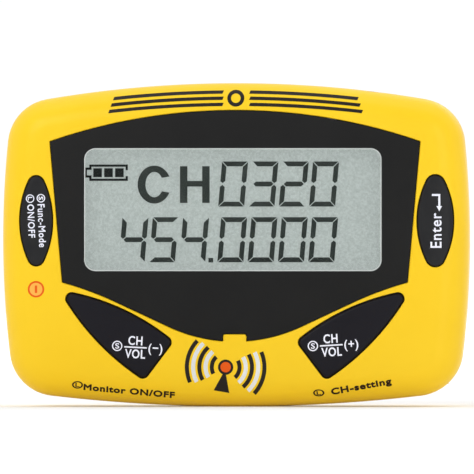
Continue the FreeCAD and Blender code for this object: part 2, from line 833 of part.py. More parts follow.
def front_case():
    """The domed front half: screw posts behind, a recess for the face plate, the display
    opening, four button openings and half of the earphone jack's hole."""
    shell = cut("front_shell", front_form, front_hollow)
    posts = [rod(f"post_{name}", "post_radius", "-fit_gap - post_top", "y", x, "post_top", z)
             for name, (x, z) in POST_PLACES.items()]
    board_posts = [rod(f"board_post_{name}", "post_radius - fit_gap * 4", "board_front - post_top", "y",
                       x, "post_top", "board_screw_up")
                   for name, x in BOARD_SCREW_PLACES.items()]
    body = join("front_with_posts", [shell] + posts + board_posts)
    recess = cut("plate_recess",
                 prism("plate_recess_prism", offset("plate_recess_outline", plate_edge, "plate_gap"),
                       to_depth(0)),
                 ball("plate_recess_floor", "plate_thickness"))
    opening = prism("collar_hole",
                    offset("collar_hole_outline", window_edge, "collar_wall + fit_gap"), to_depth(0))
    holes = [prism(f"{name}_hole", edge, to_depth(0)) for name, edge in button_edges.items()]
    pilots = [rod(f"pilot_{name}", "screw_radius + fit_gap / 2", "-screw_tip + margin", "y", x,
                  "screw_tip - fit_gap", z)
              for name, (x, z) in POST_PLACES.items()]
    small_pilots = [rod(f"small_pilot_{name}", "small_screw_radius + fit_gap / 2", "margin * 2", "y", x,
                        "post_top + fit_gap", "board_screw_up")
                    for name, x in BOARD_SCREW_PLACES.items()]
    jack_hole = rod("front_jack_hole", "nose_radius + nose_gap", "margin * 3", "z", "jack_across",
                    "jack_depth", "jack_body_top + fit_gap")
    tools = join("front_openings", [recess, opening, jack_hole] + holes + pilots + small_pilots)
    sub_part(cut("front_case_solid", body, tools), "front_case")


def faceplate():
    """The black plate around the display, bent to the front's dome, with a collar that lines
    the display opening."""
    plate = common("plate_on_dome", prism("plate_prism", plate_edge, to_depth(0)), front_form)
    plate = cut("plate_sheet", plate, ball("plate_underside", "plate_thickness - fit_gap / 2"))
    collar_outside = prism("collar_prism", offset("collar_outline", window_edge, "collar_wall"),
                           to_depth("collar_back"))
    collar = common("collar_on_dome", collar_outside, front_form)
    body = join("plate_with_collar", [plate, collar])
    window = prism("window_hole", window_edge, to_depth(0))
    sub_part(cut("faceplate_solid", body, window), "faceplate")


def display_window():
    """The clear lens, held just under the collar's edge and bent to the same dome."""
    outline = offset("lens_outline", window_edge, "-fit_gap")
    outer = common("lens_outer", prism("lens_prism", outline, to_depth(0)),
                   ball("lens_face", "lens_recess"))
    sub_part(cut("lens_solid", outer, ball("lens_back", "lens_recess + lens_thickness")), "display_window")


def window_gasket():
    """The thin foam ring between the collar and the display's glass."""
    outer = prism("gasket_outer", offset("gasket_outline", window_edge, "collar_wall - fit_gap"),
                  to_depth("collar_back + gasket_thickness + fit_gap"))
    inner = prism("gasket_inner", window_edge, to_depth(0))
    ahead = block("gasket_ahead", ("-case_width", "case_width"),
                  ("-front_depth - margin * 2", "collar_back + fit_gap / 2"),
                  ("-case_height", "case_height"))
    sub_part(cut("gasket_solid", cut("gasket_ring", outer, inner), ahead), "window_gasket")


# ---------------------------------------------------------------- display

def centred(width, height):
    """The X and Z limits of a rectangle in the middle of the display."""
    return ((f"window_across - ({width}) / 2", f"window_across + ({width}) / 2"),
            (f"window_up - ({height}) / 2", f"window_up + ({height}) / 2"))


def layer(label, width, height, front, thickness):
    x, z = centred(width, height)
    sub_part(block(label + "_sheet", x, (front, f"{front} + ({thickness})"), z), label)


def display():
    """Seen from the front: polarizer, two panes of glass, reflector and light guide in a
    frame, with two rubber connectors on the glass's ledges and a lamp at each end."""
    rear_glass = "glass_front + glass_thickness"
    reflector = "glass_front + glass_thickness * 2"
    guide = "glass_front + glass_thickness * 2 + film_thickness"
    short_height = "glass_height - ledge * 2"
    layer("lcd_front_polarizer", "glass_width - film_border * 2", "glass_height - film_border * 2",
          "glass_front - film_thickness", "film_thickness")
    layer("lcd_front_glass", "glass_width", "glass_height", "glass_front", "glass_thickness")
    layer("lcd_rear_glass", "glass_width", short_height, rear_glass, "glass_thickness")
    layer("lcd_reflector", "glass_width - film_border * 2", short_height + " - film_border * 2", reflector,
          "film_thickness")
    layer("light_guide", "guide_width", short_height, guide, "guide_thickness")
    outer_x, outer_z = centred("glass_width + fit_gap * 2 + frame_wall * 2",
                               "glass_height + fit_gap * 2 + frame_wall * 2")
    inner_x, inner_z = centred("glass_width + fit_gap * 2", "glass_height + fit_gap * 2")
    frame = cut("display_frame",
                block("display_frame_outer", outer_x, ("frame_front", "board_front"), outer_z),
                block("display_frame_inner", inner_x,
                      ("frame_front - margin", "board_front + margin"), inner_z))
    sub_part(frame, "lcd_frame")
    strips = []
    for name, sign in (("low", "-1"), ("high", "1")):
        middle = f"window_up + {sign} * (glass_height / 2 - ledge / 2)"
        strips.append(block(f"zebra_{name}", centred("zebra_length", "0")[0], (rear_glass, "board_front"),
                            (f"{middle} - zebra_width / 2", f"{middle} + zebra_width / 2")))
    sub_part(join("zebra_pair", strips), "zebra_strips")
    lamps = []
    for name, sign in (("left", "-1"), ("right", "1")):
        for level, place in (("low", "-1"), ("high", "1")):
            x = f"window_across + {sign} * (guide_width / 2 + lamp_offset)"
            z = f"window_up + {place} * glass_height / 6"
            lamps.append(block(f"lamp_{name}_{level}",
                               (f"{x} - lamp_width / 2", f"{x} + lamp_width / 2"),
                               (guide, "board_front"),
                               (f"{z} - lamp_height / 2", f"{z} + lamp_height / 2")))
    sub_part(join("lamp_group", lamps), "backlight_leds")


# ---------------------------------------------------------------- buttons and switches

def button(name):
    """A cap that follows the front's dome and rounding, with a rim or tabs that keep it in."""
    edge = button_edges[name]
    cap = common(f"{name}_cap", front_form,
                 prism(f"{name}_cap_prism", offset(f"{name}_cap_outline", edge, "-button_gap"),
                       to_depth("button_back")))
    if name in ("down", "up"):
        keeper = prism(f"{name}_rim_prism", offset(f"{name}_rim_outline", edge, "flange"),
                       to_depth("button_back - fit_gap"))
    else:
        keeper = oval_tabs(name, -1 if name == "mode" else 1)
    rim = common(f"{name}_rim", flange_limit, keeper)
    sub_part(fuse(f"{name}_button_solid", cap, rim), f"{name}_button")


def oval_tabs(name, side):
    """Tabs above, below and on the inner side of an oval button."""
    depth = ("-front_depth", "button_back - fit_gap")
    reach = [f"{side} * (oval_across - inner_tab_{place})" for place in ("end", "start")]
    if side < 0:
        reach.reverse()
    tabs = [block(f"{name}_tab_inner", reach, depth,
                  ("oval_up - inner_tab_half", "oval_up + inner_tab_half"))]
    middle = f"{side} * (oval_across - end_tab_shift)"
    ends = {
        "low": ("oval_up - oval_half_height - end_tab_reach", "oval_up - oval_half_height + end_tab_shift"),
        "high": ("oval_up + oval_half_height - end_tab_shift", "oval_up + oval_half_height + end_tab_reach"),
    }
    for place, end in ends.items():
        tabs.append(block(f"{name}_tab_{place}",
                          (f"{middle} - end_tab_half", f"{middle} + end_tab_half"), depth, end))
    return join(f"{name}_tabs", tabs)


def switches():
    """Four low switches on the board, each with a plunger that its button pushes."""
    bases = []
    for name, (x, z) in SWITCH_PLACES.items():
        base = block(f"{name}_switch_block",
                     (f"{x} - switch_side / 2", f"{x} + switch_side / 2"),
                     ("board_front - switch_depth", "board_front"),
                     (f"{z} - switch_side / 2", f"{z} + switch_side / 2"))
        hole = rod(f"{name}_switch_hole", "plunger_radius + plunger_gap", "switch_depth", "y", x,
                   "board_front - switch_depth - plunger_gap", z)
        bases.append(cut(f"{name}_switch_base", base, hole))
        plunger = rod(f"{name}_plunger", "plunger_radius", "plunger_length", "y", x,
                      "button_back", z)
        sub_part(plunger, f"{name}_switch_plunger")
    sub_part(join("switch_base_group", bases), "switch_bases")


# ---------------------------------------------------------------- board and its parts

def on_board(name, x, z, width, height, depth):
    """A box that stands on the back of the board."""
    return block(name, (f"{x} - {width} / 2", f"{x} + {width} / 2"),
                 (BOARD_BACK, f"{BOARD_BACK} + {depth}"),
                 (f"{z} - {height} / 2", f"{z} + {height} / 2"))


def main_board():
    """The printed circuit board, notched round the screw posts."""
    sketch = case_outline(face_sketch("board_outline", "board_front"), ("board_inset",))
    sheet_solid = prism("board_sheet", sketch, "board_thickness")
    notches = [rod(f"notch_{name}", "post_radius + fit_gap * 5", "board_thickness + margin * 2", "y", x,
                   "board_front - margin", z)
               for name, (x, z) in POST_PLACES.items()]
    holes = [rod(f"board_hole_{name}", "small_screw_radius + fit_gap * 2", "board_thickness + margin * 2",
                 "y", x, "board_front - margin", "board_screw_up")
             for name, x in BOARD_SCREW_PLACES.items()]
    sub_part(cut("board_solid", sheet_solid, join("board_openings", notches + holes)), "main_board")


def board_components():
    """What the board carries behind the display."""
    chip = join("controller_chip", [
        on_board("controller_body", "controller_across", "controller_up",
                 "controller_side", "controller_side", "chip_depth"),
        on_board("controller_leads", "controller_across", "controller_up",
                 "controller_span", "controller_span", "lead_depth")])
    sub_part(chip, "microcontroller")
    can = cut("receiver_can",
              on_board("receiver_can_outer", "can_across", "can_up", "can_width", "can_height", "can_depth"),
              on_board("receiver_can_inner", "can_across", "can_up", "(can_width - can_sheet * 2)",
                       "(can_height - can_sheet * 2)", "can_depth - can_sheet"))
    sub_part(can, "receiver_shield")
    sub_part(on_board("crystal_filter_can", "filter_across", "filter_up",
                      "filter_width", "filter_height", "filter_depth"), "crystal_filter")
    amplifier = join("amplifier_chip", [
        on_board("amplifier_body", "amplifier_across", "amplifier_up",
                 "amplifier_width", "amplifier_height", "chip_depth"),
        on_board("amplifier_leads", "amplifier_across", "amplifier_up",
                 "amplifier_span", "amplifier_row", "lead_depth")])
    sub_part(amplifier, "audio_amplifier")
    cans = [rod(f"capacitor_{place}", "capacitor_radius", "capacitor_length", "y", "capacitor_across",
                BOARD_BACK, f"capacitor_{place}")
            for place in ("low", "high")]
    sub_part(join("capacitor_pair", cans), "capacitors")
    chips = []
    for row in ("low", "high"):
        for column, letter in enumerate("abcd"):
            chips.append(on_board(f"chip_{row}_{letter}", f"chip_first + {column} * chip_pitch",
                                  f"chip_{row}", "chip_width", "chip_height", "chip_rise"))
    sub_part(join("chip_group", chips), "chip_components")


def loop_antenna():
    """A flat copper strap bent into a loop that stands on the board."""
    outer = on_board("antenna_outer", "antenna_across", "antenna_up",
                     "antenna_width", "antenna_height", "antenna_depth")
    inner = on_board("antenna_inner", "antenna_across", "antenna_up", "(antenna_width - antenna_strap * 2)",
                     "(antenna_height - antenna_strap * 2)", "antenna_depth + margin")
    sub_part(cut("antenna_loop", outer, inner), "loop_antenna")


def earphone_jack():
    """The jack: a block on the board with a round nose that fills the hole in the top."""
    body = block("jack_block", ("jack_across - jack_body_half", "jack_across + jack_body_half"),
                 (BOARD_BACK, "jack_body_back"), ("jack_body_low", "jack_body_top"))
    nose = rod("jack_nose", "nose_radius", "jack_mouth - jack_body_top + fit_gap", "z", "jack_across",
               "jack_depth", "jack_body_top - fit_gap")
    bore = rod("jack_bore_tool", "jack_bore", "jack_length + margin", "z", "jack_across", "jack_depth",
               "jack_mouth - jack_length")
    sub_part(cut("jack_solid", join("jack_outside", [body, nose]), bore), "earphone_jack")


# ---------------------------------------------------------------- rear of the case

def clip_lugs():
    """The two lugs on the case's back that hold the clip's hinge pin."""
    lugs = []
    for name, left in (("left", "-lug_inner - lug_width"), ("right", "lug_inner")):
        knuckle = rod(f"lug_knuckle_{name}", "lug_radius", "lug_width", "x", left, "pivot_depth",
                      "pivot_up")
        web = block(f"lug_web_{name}", (left, f"{left} + lug_width"),
                    ("rear_depth - wall / 2", "pivot_depth"),
                    ("pivot_up - lug_radius", "pivot_up + lug_radius"))
        lugs += [knuckle, web]
    return lugs


def rear_case():
    """The flat rear half: a lip that enters the front, screw columns, the cell's tub, the
    door's rails and the clip's lugs."""
    shell = cut("rear_shell", rear_form, rear_hollow)
    seam = block("seam_groove", ("-case_width", "case_width"), ("-margin", "seam_gap"),
                 ("-case_height", "case_height"))
    shell = cut("rear_shell_with_seam", shell, seam)
    lip_outer = case_outline(face_sketch("lip_outer_outline", "-lip_height"), ("wall", "fit_gap"))
    lip_inner = case_outline(face_sketch("lip_inner_outline", "-lip_height"),
                             ("wall", "fit_gap", "lip_thickness"))
    lip = cut("lip_ring", prism("lip_outside", lip_outer, "lip_height + margin"),
              prism("lip_inside", lip_inner, "lip_height + margin"))
    columns = [rod(f"column_{name}", "column_radius", "rear_depth - wall / 2 - fit_gap", "y", x,
                   "fit_gap", z)
               for name, (x, z) in POST_PLACES.items()]
    tub = block("tub_outside", ("bay_left - bay_wall", "bay_right + bay_wall"),
                (f"{BOARD_BACK} + fit_gap", "tub_back"), ("cell_up - tub_half", "cell_up + tub_half"))
    foot = block("tub_foot", ("bay_left - bay_wall", "tub_foot_right"), ("seam_gap", "tub_back"),
                 ("rear_wall - tub_foot_sink - case_height / 2", "cell_up"))
    rails = block("rails_outside", ("bay_right", "end_wall_left - door_gap"),
                  ("end_wall_front + margin", "tub_back"), ("cell_up - tub_half", "cell_up + tub_half"))
    body = join("rear_solids", [shell, lip, tub, foot, rails] + columns + clip_lugs())
    sub_part(cut("rear_case_solid", body, rear_openings()), "rear_case")


def rear_openings():
    beyond = "case_width"
    half = "door_half + door_gap"
    tongue = "tongue_half + door_gap"
    back = "rear_depth + margin * 3"
    tools = [
        block("plate_slot", ("door_left - door_gap", beyond), ("door_inner - door_gap * 2", back),
              (f"cell_up - ({half})", f"cell_up + {half}")),
        block("tongue_slot", ("door_left - door_gap", beyond),
              ("door_inner - door_gap * 2", "tongue_back + door_gap"),
              (f"cell_up - ({tongue})", f"cell_up + {tongue}")),
        block("end_wall_slot", ("end_wall_left - door_gap", beyond), ("end_wall_front - door_gap", back),
              (f"cell_up - ({half})", f"cell_up + {half}")),
        block("cell_bay", ("bay_left", "bay_right"), ("bay_floor", "door_inner"),
              ("cell_up - bay_half", "cell_up + bay_half")),
        block("rail_pocket", ("bay_right + bay_wall", "end_wall_left"), ("end_wall_front", "door_inner"),
              ("cell_up - bay_half", "cell_up + bay_half")),
        rod("rear_jack_hole", "nose_radius + fit_gap * 4", "margin * 3", "z", "jack_across", "jack_depth",
            "jack_body_top - margin / 2"),
        rod("lug_pin_hole", "pin_radius + pin_fit / 2", "clip_half_width * 2", "x", "-clip_half_width",
            "pivot_depth", "pivot_up"),
    ]
    for name, (x, z) in POST_PLACES.items():
        tools.append(rod(f"counterbore_{name}", "counterbore_radius", "rear_depth", "y", x,
                         "counterbore_floor", z))
        tools.append(rod(f"screw_hole_{name}", "screw_radius + screw_clearance", "rear_depth", "y", x,
                         "-margin", z))
    return join("rear_opening_tools", tools)


def battery_door():
    """A cover over the cell that wraps round the case's right end and slides off sideways on
    two tongues, with ridges for the thumb."""
    plate = block("door_plate", ("door_left", "case_width"), ("door_inner", "rear_depth + margin"),
                  ("cell_up - door_half", "cell_up + door_half"))
    tongue = block("door_tongue", ("door_left", "tongue_right"), ("door_inner", "tongue_back"),
                   ("cell_up - tongue_half", "cell_up + tongue_half"))
    end = block("door_end", ("end_wall_left", "case_width"), ("end_wall_front", "rear_depth + margin"),
                ("cell_up - door_half", "cell_up + door_half"))
    cover = common("door_cover", rear_form, join("door_blocks", [plate, tongue, end]))
    ridges = []
    for number, letter in enumerate("abcde"):
        left = f"ridge_start + {number} * ridge_pitch"
        ridges.append(block(f"door_ridge_{letter}", (left, f"{left} + ridge_pitch / 2"),
                            ("rear_depth - ridge_height", "rear_depth + ridge_height"),
                            ("cell_up - ridge_half", "cell_up + ridge_half")))
    sub_part(join("battery_door_solid", [cover] + ridges), "battery_door")


# ---------------------------------------------------------------- cell and contacts

def battery_cell():
    """One AAA cell that lies along X, its positive end to the right."""
    can = rod("cell_can", "cell_radius", "cell_length", "x", "cell_low_end", "cell_depth", "cell_up")
    nub = rod("cell_nub", "nub_radius", "nub_length + fit_gap", "x", "cell_low_end + cell_length - fit_gap",
              "cell_depth", "cell_up")
    sub_part(join("cell_solid", [can, nub]), "battery_cell")


def contact_plate(name, left):
    return block(name, (left, f"{left} + contact_thickness"),
                 ("cell_depth - contact_half", "cell_depth + contact_half"),
                 ("cell_up - contact_half", "cell_up + contact_half"))


def battery_contacts():
    """A plate for the cell's nub, and a coil spring on a plate for its flat end."""
    nub_end = "cell_low_end + cell_length + nub_length"
    sub_part(contact_plate("positive_plate", nub_end), "positive_contact")
    plate = contact_plate("negative_plate", "bay_left + fit_gap")
    first = "(bay_left + fit_gap + contact_thickness + coil_wire / 2)"
    last = "(cell_low_end - coil_wire)"
    letters = "abcdefghijkl"
    coils = []
    for number, letter in enumerate(letters):
        share = f"{number} / {len(letters) - 1}"
        coils.append(ring(f"negative_coil_{letter}", f"coil_wide - (coil_wide - coil_narrow) * {share}",
                          "coil_wire", f"{first} + ({last} - {first}) * {share}", "cell_depth", "cell_up"))
    sub_part(join("negative_spring_solid", [plate] + coils), "negative_spring")


# ---------------------------------------------------------------- fasteners

def case_screws():
    screws = []
    for name, (x, z) in POST_PLACES.items():
        head = rod(f"head_{name}", "screw_head_radius", "screw_head_height", "y", x,
                   "counterbore_floor", z)
        shank = rod(f"shank_{name}", "screw_radius", "counterbore_floor - screw_tip + fit_gap", "y", x,
                    "screw_tip", z)
        slots = [block(f"drive_{name}_{turn}", (f"{x} - {wide}", f"{x} + {wide}"),
                       ("counterbore_floor + screw_head_height / 2", "rear_depth"),
                       (f"{z} - {tall}", f"{z} + {tall}"))
                 for turn, wide, tall in (("flat", "drive_reach", "drive_half"),
                                          ("tall", "drive_half", "drive_reach"))]
        screws.append(cut(f"screw_{name}", join(f"blank_{name}", [head, shank]),
                          join(f"cross_{name}", slots)))
    sub_part(join("case_screw_group", screws), "case_screws")


def board_screws():
    screws = []
    for name, x in BOARD_SCREW_PLACES.items():
        head = rod(f"small_head_{name}", "small_head_radius", "board_thickness", "y", x, BOARD_BACK,
                   "board_screw_up")
        shank = rod(f"small_shank_{name}", "small_screw_radius", f"{BOARD_BACK} - post_top - fit_gap",
                    "y", x, "post_top + fit_gap * 2", "board_screw_up")
        screws.append(join(f"small_screw_{name}", [head, shank]))
    sub_part(join("board_screw_group", screws), "board_screws")


# ---------------------------------------------------------------- belt clip

def clip_profile():
    """The clip seen from the side: a flat arm with a hooked foot at its lower end."""
    sketch = doc.addObject("Sketcher::SketchObject", "clip_profile")
    across_y = Rotation(Vector(0, 1, 0), Vector(0, 0, 1), Vector(1, 0, 0), "ZXY")
    sketch.Placement = Placement(Vector(), across_y)
    inner = size("clip_inner")
    outer = inner + size("clip_thickness")
    high = size("clip_top")
    low = size("clip_low")
    foot = size("foot_face")
    bevel = size("foot_bevel")
    flat_top = low + bevel + size("foot_flat")
    corners = [
        ("top_inner", inner, high, "clip_inner", "clip_top"),
        ("top_outer", outer, high, "clip_inner + clip_thickness", "clip_top"),
        ("low_outer", outer, low, "clip_inner + clip_thickness", "clip_low"),
        ("low_foot", foot + bevel, low, "foot_face + foot_bevel", "clip_low"),
        ("foot_low", foot, low + bevel, "foot_face", "clip_low + foot_bevel"),
        ("foot_high", foot, flat_top, "foot_face", "clip_low + foot_bevel + foot_flat"),
        ("hook_inner", inner, low + size("foot_height"), "clip_inner", "clip_low + foot_height"),
    ]
    points = [Vector(corner[1], corner[2], 0) for corner in corners]
    pieces = [(Part.LineSegment(point, points[(number + 1) % len(points)]), START, END, "Coincident")
              for number, point in enumerate(points)]
    draw(sketch, pieces)
    for number, (name, y, z, across, up) in enumerate(corners):
        set_point(sketch, number, START, name, across, up)
    return sketch


def belt_clip():
    """The sprung clip: an arm with rounded corners, two ears round the hinge pin and grooves
    for the thumb above it."""
    side = prism("clip_side", clip_profile(), "clip_half_width * 2", Vector(1, 0, 0))
    side.Symmetric = True
    face = rounded_rectangle(
        face_sketch("clip_face_outline", "rear_depth"), ("0", 0),
        ("(clip_top + clip_low) / 2", (size("clip_top") + size("clip_low")) / 2),
        ("clip_half_width * 2", size("clip_half_width") * 2),
        ("clip_top - clip_low", size("clip_top") - size("clip_low")),
        ("clip_corner", size("clip_corner")))
    arm = common("clip_arm", side, prism("clip_face", face, "clip_inner"))
    ears = []
    ear_inner = "lug_inner + lug_width + ear_gap"
    for name, left in (("left", f"-({ear_inner}) - ear_width"), ("right", ear_inner)):
        ears.append(rod(f"ear_knuckle_{name}", "knuckle_radius", "ear_width", "x", left, "pivot_depth",
                        "pivot_up"))
        ears.append(block(f"ear_web_{name}", (left, f"{left} + ear_width"),
                          ("pivot_depth", "clip_inner + clip_thickness / 2"),
                          ("pivot_up - knuckle_radius", "pivot_up + knuckle_radius")))
    body = join("clip_with_ears", [arm] + ears)
    hole = rod("clip_pin_hole", "pin_radius + pin_fit", "clip_half_width * 2", "x", "-clip_half_width",
               "pivot_depth", "pivot_up")
    grooves = []
    for number, letter in enumerate("abcd"):
        low = f"pivot_up + groove_start + {number} * groove_pitch"
        grooves.append(block(f"thumb_groove_{letter}", ("-groove_half", "groove_half"),
                             ("clip_inner + clip_thickness - groove_depth",
                              "clip_inner + clip_thickness * 2"),
                             (low, f"{low} + groove_width")))
    sub_part(cut("belt_clip_solid", body, join("clip_openings", [hole] + grooves)), "belt_clip")


def clip_hinge():
    """The hinge pin and the torsion spring round it, between the case's lugs."""
    half = "(lug_inner + lug_width + ear_gap + ear_width)"
    pin = rod("hinge_pin_rod", "pin_radius", f"{half} * 2", "x", f"-{half}", "pivot_depth", "pivot_up")
    sub_part(pin, "clip_hinge_pin")
    end = "(lug_inner - spring_inset)"
    letters = "abcdefghijkl"
    coils = []
    for number, letter in enumerate(letters):
        place = f"{end} * ({number} * 2 / {len(letters) - 1} - 1)"
        coils.append(ring(f"clip_coil_{letter}", "spring_coil_radius", "spring_wire + fit_gap / 2", place,
                          "pivot_depth", "pivot_up"))
    case_leg = rod("spring_case_leg", "spring_wire", "case_leg_length", "z", f"-{end}",
                   "pivot_depth - spring_coil_radius", "pivot_up - case_leg_length")
    clip_leg = rod("spring_clip_leg", "spring_wire", "clip_leg_length", "z", end,
                   "clip_inner - spring_wire - fit_gap / 2", "pivot_up")
    sub_part(join("clip_spring_solid", coils + [case_leg, clip_leg]), "clip_spring")


# ---------------------------------------------------------------- build, check and write

front_case()
faceplate()
display_window()
window_gasket()
display()
for button_name in button_edges:
    button(button_name)
switches()
main_board()
board_components()
loop_antenna()
earphone_jack()
rear_case()
battery_door()
battery_cell()
battery_contacts()
case_screws()
board_screws()
belt_clip()
clip_hinge()
doc.recompute()

faults = [f"{item.Label}: {item.State}" for item in doc.Objects
          if "Invalid" in item.State or "Error" in item.State]
for item in sub_parts:
    if item.Shape.isNull() or not item.Shape.isValid() or not item.Shape.Solids:
        faults.append(f"{item.Label}: bad shape")
if faults:
    raise SystemExit("not written, because of " + "; ".join(faults))

os.makedirs("parts", exist_ok=True)
for item in sub_parts:
    item.Shape.exportStep(f"parts/{item.Label}.step")
    box = item.Shape.BoundBox
    print(f"{item.Label:22} solids {len(item.Shape.Solids):2}  volume {item.Shape.Volume:9.1f}  "
          f"x {box.XMin:7.2f} {box.XMax:7.2f}  y {box.YMin:7.2f} {box.YMax:7.2f}  "
          f"z {box.ZMin:7.2f} {box.ZMax:7.2f}")
print(f"{len(sub_parts)} sub-parts written")
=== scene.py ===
"""The looks of a pocket receiver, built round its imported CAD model.

While a piece is drawn, its sizes are in millimetres in the case's own place: X runs to the right,
Y = 0 is the seam between the two halves of the case (the front is negative), and Z = 0 is the
middle of the case's height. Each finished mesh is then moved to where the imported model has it.
"""

import math

import bmesh
import bpy
import numpy as np
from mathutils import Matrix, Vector, geometry, kdtree


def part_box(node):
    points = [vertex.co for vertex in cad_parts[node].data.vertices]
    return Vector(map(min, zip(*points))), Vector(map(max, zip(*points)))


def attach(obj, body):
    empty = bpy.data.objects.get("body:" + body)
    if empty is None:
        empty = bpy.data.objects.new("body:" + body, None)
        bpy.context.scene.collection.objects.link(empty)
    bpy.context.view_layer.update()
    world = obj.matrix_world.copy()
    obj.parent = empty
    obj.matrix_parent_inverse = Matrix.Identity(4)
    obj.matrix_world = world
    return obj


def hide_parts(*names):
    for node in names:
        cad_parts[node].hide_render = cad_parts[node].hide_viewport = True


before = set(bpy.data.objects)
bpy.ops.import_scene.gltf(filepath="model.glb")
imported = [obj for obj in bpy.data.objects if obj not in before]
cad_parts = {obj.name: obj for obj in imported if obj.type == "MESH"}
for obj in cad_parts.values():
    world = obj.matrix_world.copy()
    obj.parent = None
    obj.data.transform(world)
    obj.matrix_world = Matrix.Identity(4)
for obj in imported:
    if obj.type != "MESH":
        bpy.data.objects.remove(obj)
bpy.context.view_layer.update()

MM = 0.001

# the case
HALF_WIDTH = 41.25
HALF_HEIGHT = 28.6
TOP_RADIUS = 201.0
BOTTOM_RADIUS = 285.0
SIDE_RADIUS = 175.0
CORNER_RADIUS = 8.3
WIDEST = 1.1
FRONT_DEPTH = 11.0
CROWN_RADIUS = 600.0
CROWN_CENTRE = CROWN_RADIUS - FRONT_DEPTH
FRONT_EDGE = 5.5
WALL = 1.9

# the face plate and the window in it
PLATE_RADIUS = 100.0
PLATE_APEX = 23.75
PLATE_TOP_HALF = 32.72
PLATE_LOW_CORNER = (30.52, -6.62)
SHOULDER_RADIUS = 60.0
FLANK_ANGLE = math.radians(25)
BELLY_RADIUS = 27.6
BELLY_DEPTH = 17.07
TAB_HALF = 2.1
TAB_TOP = -15.75
TAB_ROUND = 0.45
PLATE_THICKNESS = 0.95
PLATE_GAP = 0.03
WINDOW_MIDDLE = (-0.36, 6.21)
WINDOW_SIZE = (52.62, 21.76)
WINDOW_ROUND = 2.0
COLLAR_WALL = 0.8
COLLAR_BACK = -8.6
LENS_SINK = 0.3
LENS_THICKNESS = 0.9
LENS_PLAY = 0.06
LENS_RIM = 0.08
# the pale ring round the lens is a painted highlight of the lens's edge
LENS_HIGHLIGHT_INSETS = (0.03, 0.22)
LENS_HIGHLIGHT_DEPTHS = (LENS_SINK - 0.03, LENS_SINK + 0.25)
LENS_HIGHLIGHT_RIM = 0.04

# the rounded rims of the case's openings and of the pieces in them
PLATE_OPENING_RIM = 0.3
BUTTON_OPENING_RIM = 0.15
PLATE_RIM = 0.12
OVAL_RIM = 0.4
SHIELD_RIM = 0.6

# the buttons
BUTTON_GAP = 0.08
EDGE_INSET = 0.06
BUTTON_BACK = -7.55
OVAL_MIDDLE = (35.4, 4.25)
OVAL_SIDE_RADIUS = 16.0
OVAL_END_RADIUS = 1.6
OVAL_HALF_HEIGHT = 8.0
ENTER_GROWTH = 0.15
MODE_NARROWING = 0.953
MODE_SHIFT = -1.40
SHIELD_ROUND = 1.1
SHIELD_TOP_RADIUS = 41.0
SHIELD_SIDE_RADIUS = 45.0
SHIELD_OUTER = (28.8, -9.54)
SHIELD_INNER = (12.32, -17.23)
SHIELD_TIP = (16.27, -22.47)

# how prints stand off the surface they are on, and how far they reach into it
PRINT_RISE = 0.02
PRINT_SINK = 0.03

# the signs of a rectangle's corners, counter-clockwise from the upper right one
CORNERS = ((1, 1), (-1, 1), (-1, -1), (1, -1))

# the largest turn between two points of an arc, and the sharpest edge that is shaded smoothly
ARC_TURN = 0.12
SMOOTH_ANGLE = 35.0

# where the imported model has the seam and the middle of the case's height
GLASS_FRONT = -7.85
SEAM_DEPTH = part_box("lcd_front_glass")[0].y / MM - GLASS_FRONT
MIDDLE_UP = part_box("rear_case")[1].z / MM - HALF_HEIGHT


# ---- outlines

def point(across, up):
    return np.array((across, up), float)


def around(count):
    """Evenly spaced angles round a full turn."""
    return np.linspace(0, 2 * math.pi, count, endpoint=False)


def circle(turns):
    """The points at given angles on a circle of radius 1."""
    return np.column_stack((np.cos(turns), np.sin(turns)))


def crossing(first, first_reach, second, second_reach, near):
    """Of the two points at given distances from two centres, the one nearer a third point."""
    line = second - first
    gap = np.linalg.norm(line)
    along = (first_reach ** 2 - second_reach ** 2 + gap ** 2) / (2 * gap)
    aside = math.sqrt(first_reach ** 2 - along ** 2)
    line = line / gap
    foot = first + line * along
    normal = point(-line[1], line[0]) * aside
    return min((foot + normal, foot - normal), key=lambda spot: np.linalg.norm(spot - near))


def bend(centre, radius, first, last, clockwise=False):
    """An arc between the directions of two points, as its centre, radius and two angles."""
    start = math.atan2(*(first - centre)[::-1])
    end = math.atan2(*(last - centre)[::-1])
    if clockwise and end > start:
        end -= 2 * math.pi
    if not clockwise and end < start:
        end += 2 * math.pi
    return centre, radius, start, end


def trace(bends, step):
    """The points of a closed outline of arcs, with straight runs between arcs that don't meet."""
    found = []
    for centre, radius, start, end in bends:
        turn = abs(end - start)
        count = max(2, math.ceil(turn * radius / step), math.ceil(turn / ARC_TURN))
        found.append(centre + radius * circle(np.linspace(start, end, count + 1)))
    points = []
    for number, run in enumerate(found):
        points.append(run)
        gap = found[(number + 1) % len(found)][0] - run[-1]
        count = math.ceil(np.linalg.norm(gap) / step)
        shares = np.arange(1, count)[:, None] / max(count, 1)
        points.append(run[-1] + gap * shares)
    points = np.vstack(points)
    apart = np.linalg.norm(points - np.roll(points, 1, axis=0), axis=1) > 1e-4
    return points[apart]


def grow(loop, distance):
    """A closed counter-clockwise loop moved outwards by a distance, with mitred corners."""
    before = loop - np.roll(loop, 1, axis=0)
    after = np.roll(loop, -1, axis=0) - loop
    sides = []
    for run in (before, after):
        run = run / np.linalg.norm(run, axis=1)[:, None]
        sides.append(np.column_stack((run[:, 1], -run[:, 0])))
    total = sides[0] + sides[1]
    mitre = total / (1 + (sides[0] * sides[1]).sum(1))[:, None]
    return loop + mitre * distance


def mirrored(loop):
    """The loop as seen in a mirror across the upright axis, still counter-clockwise."""
    return (loop * (-1, 1))[::-1]


def mirrored_bend(centre, radius, start, end):
    """The bend as seen in a mirror across the upright axis, run the other way."""
    return centre * (-1, 1), radius, math.pi - end, math.pi - start


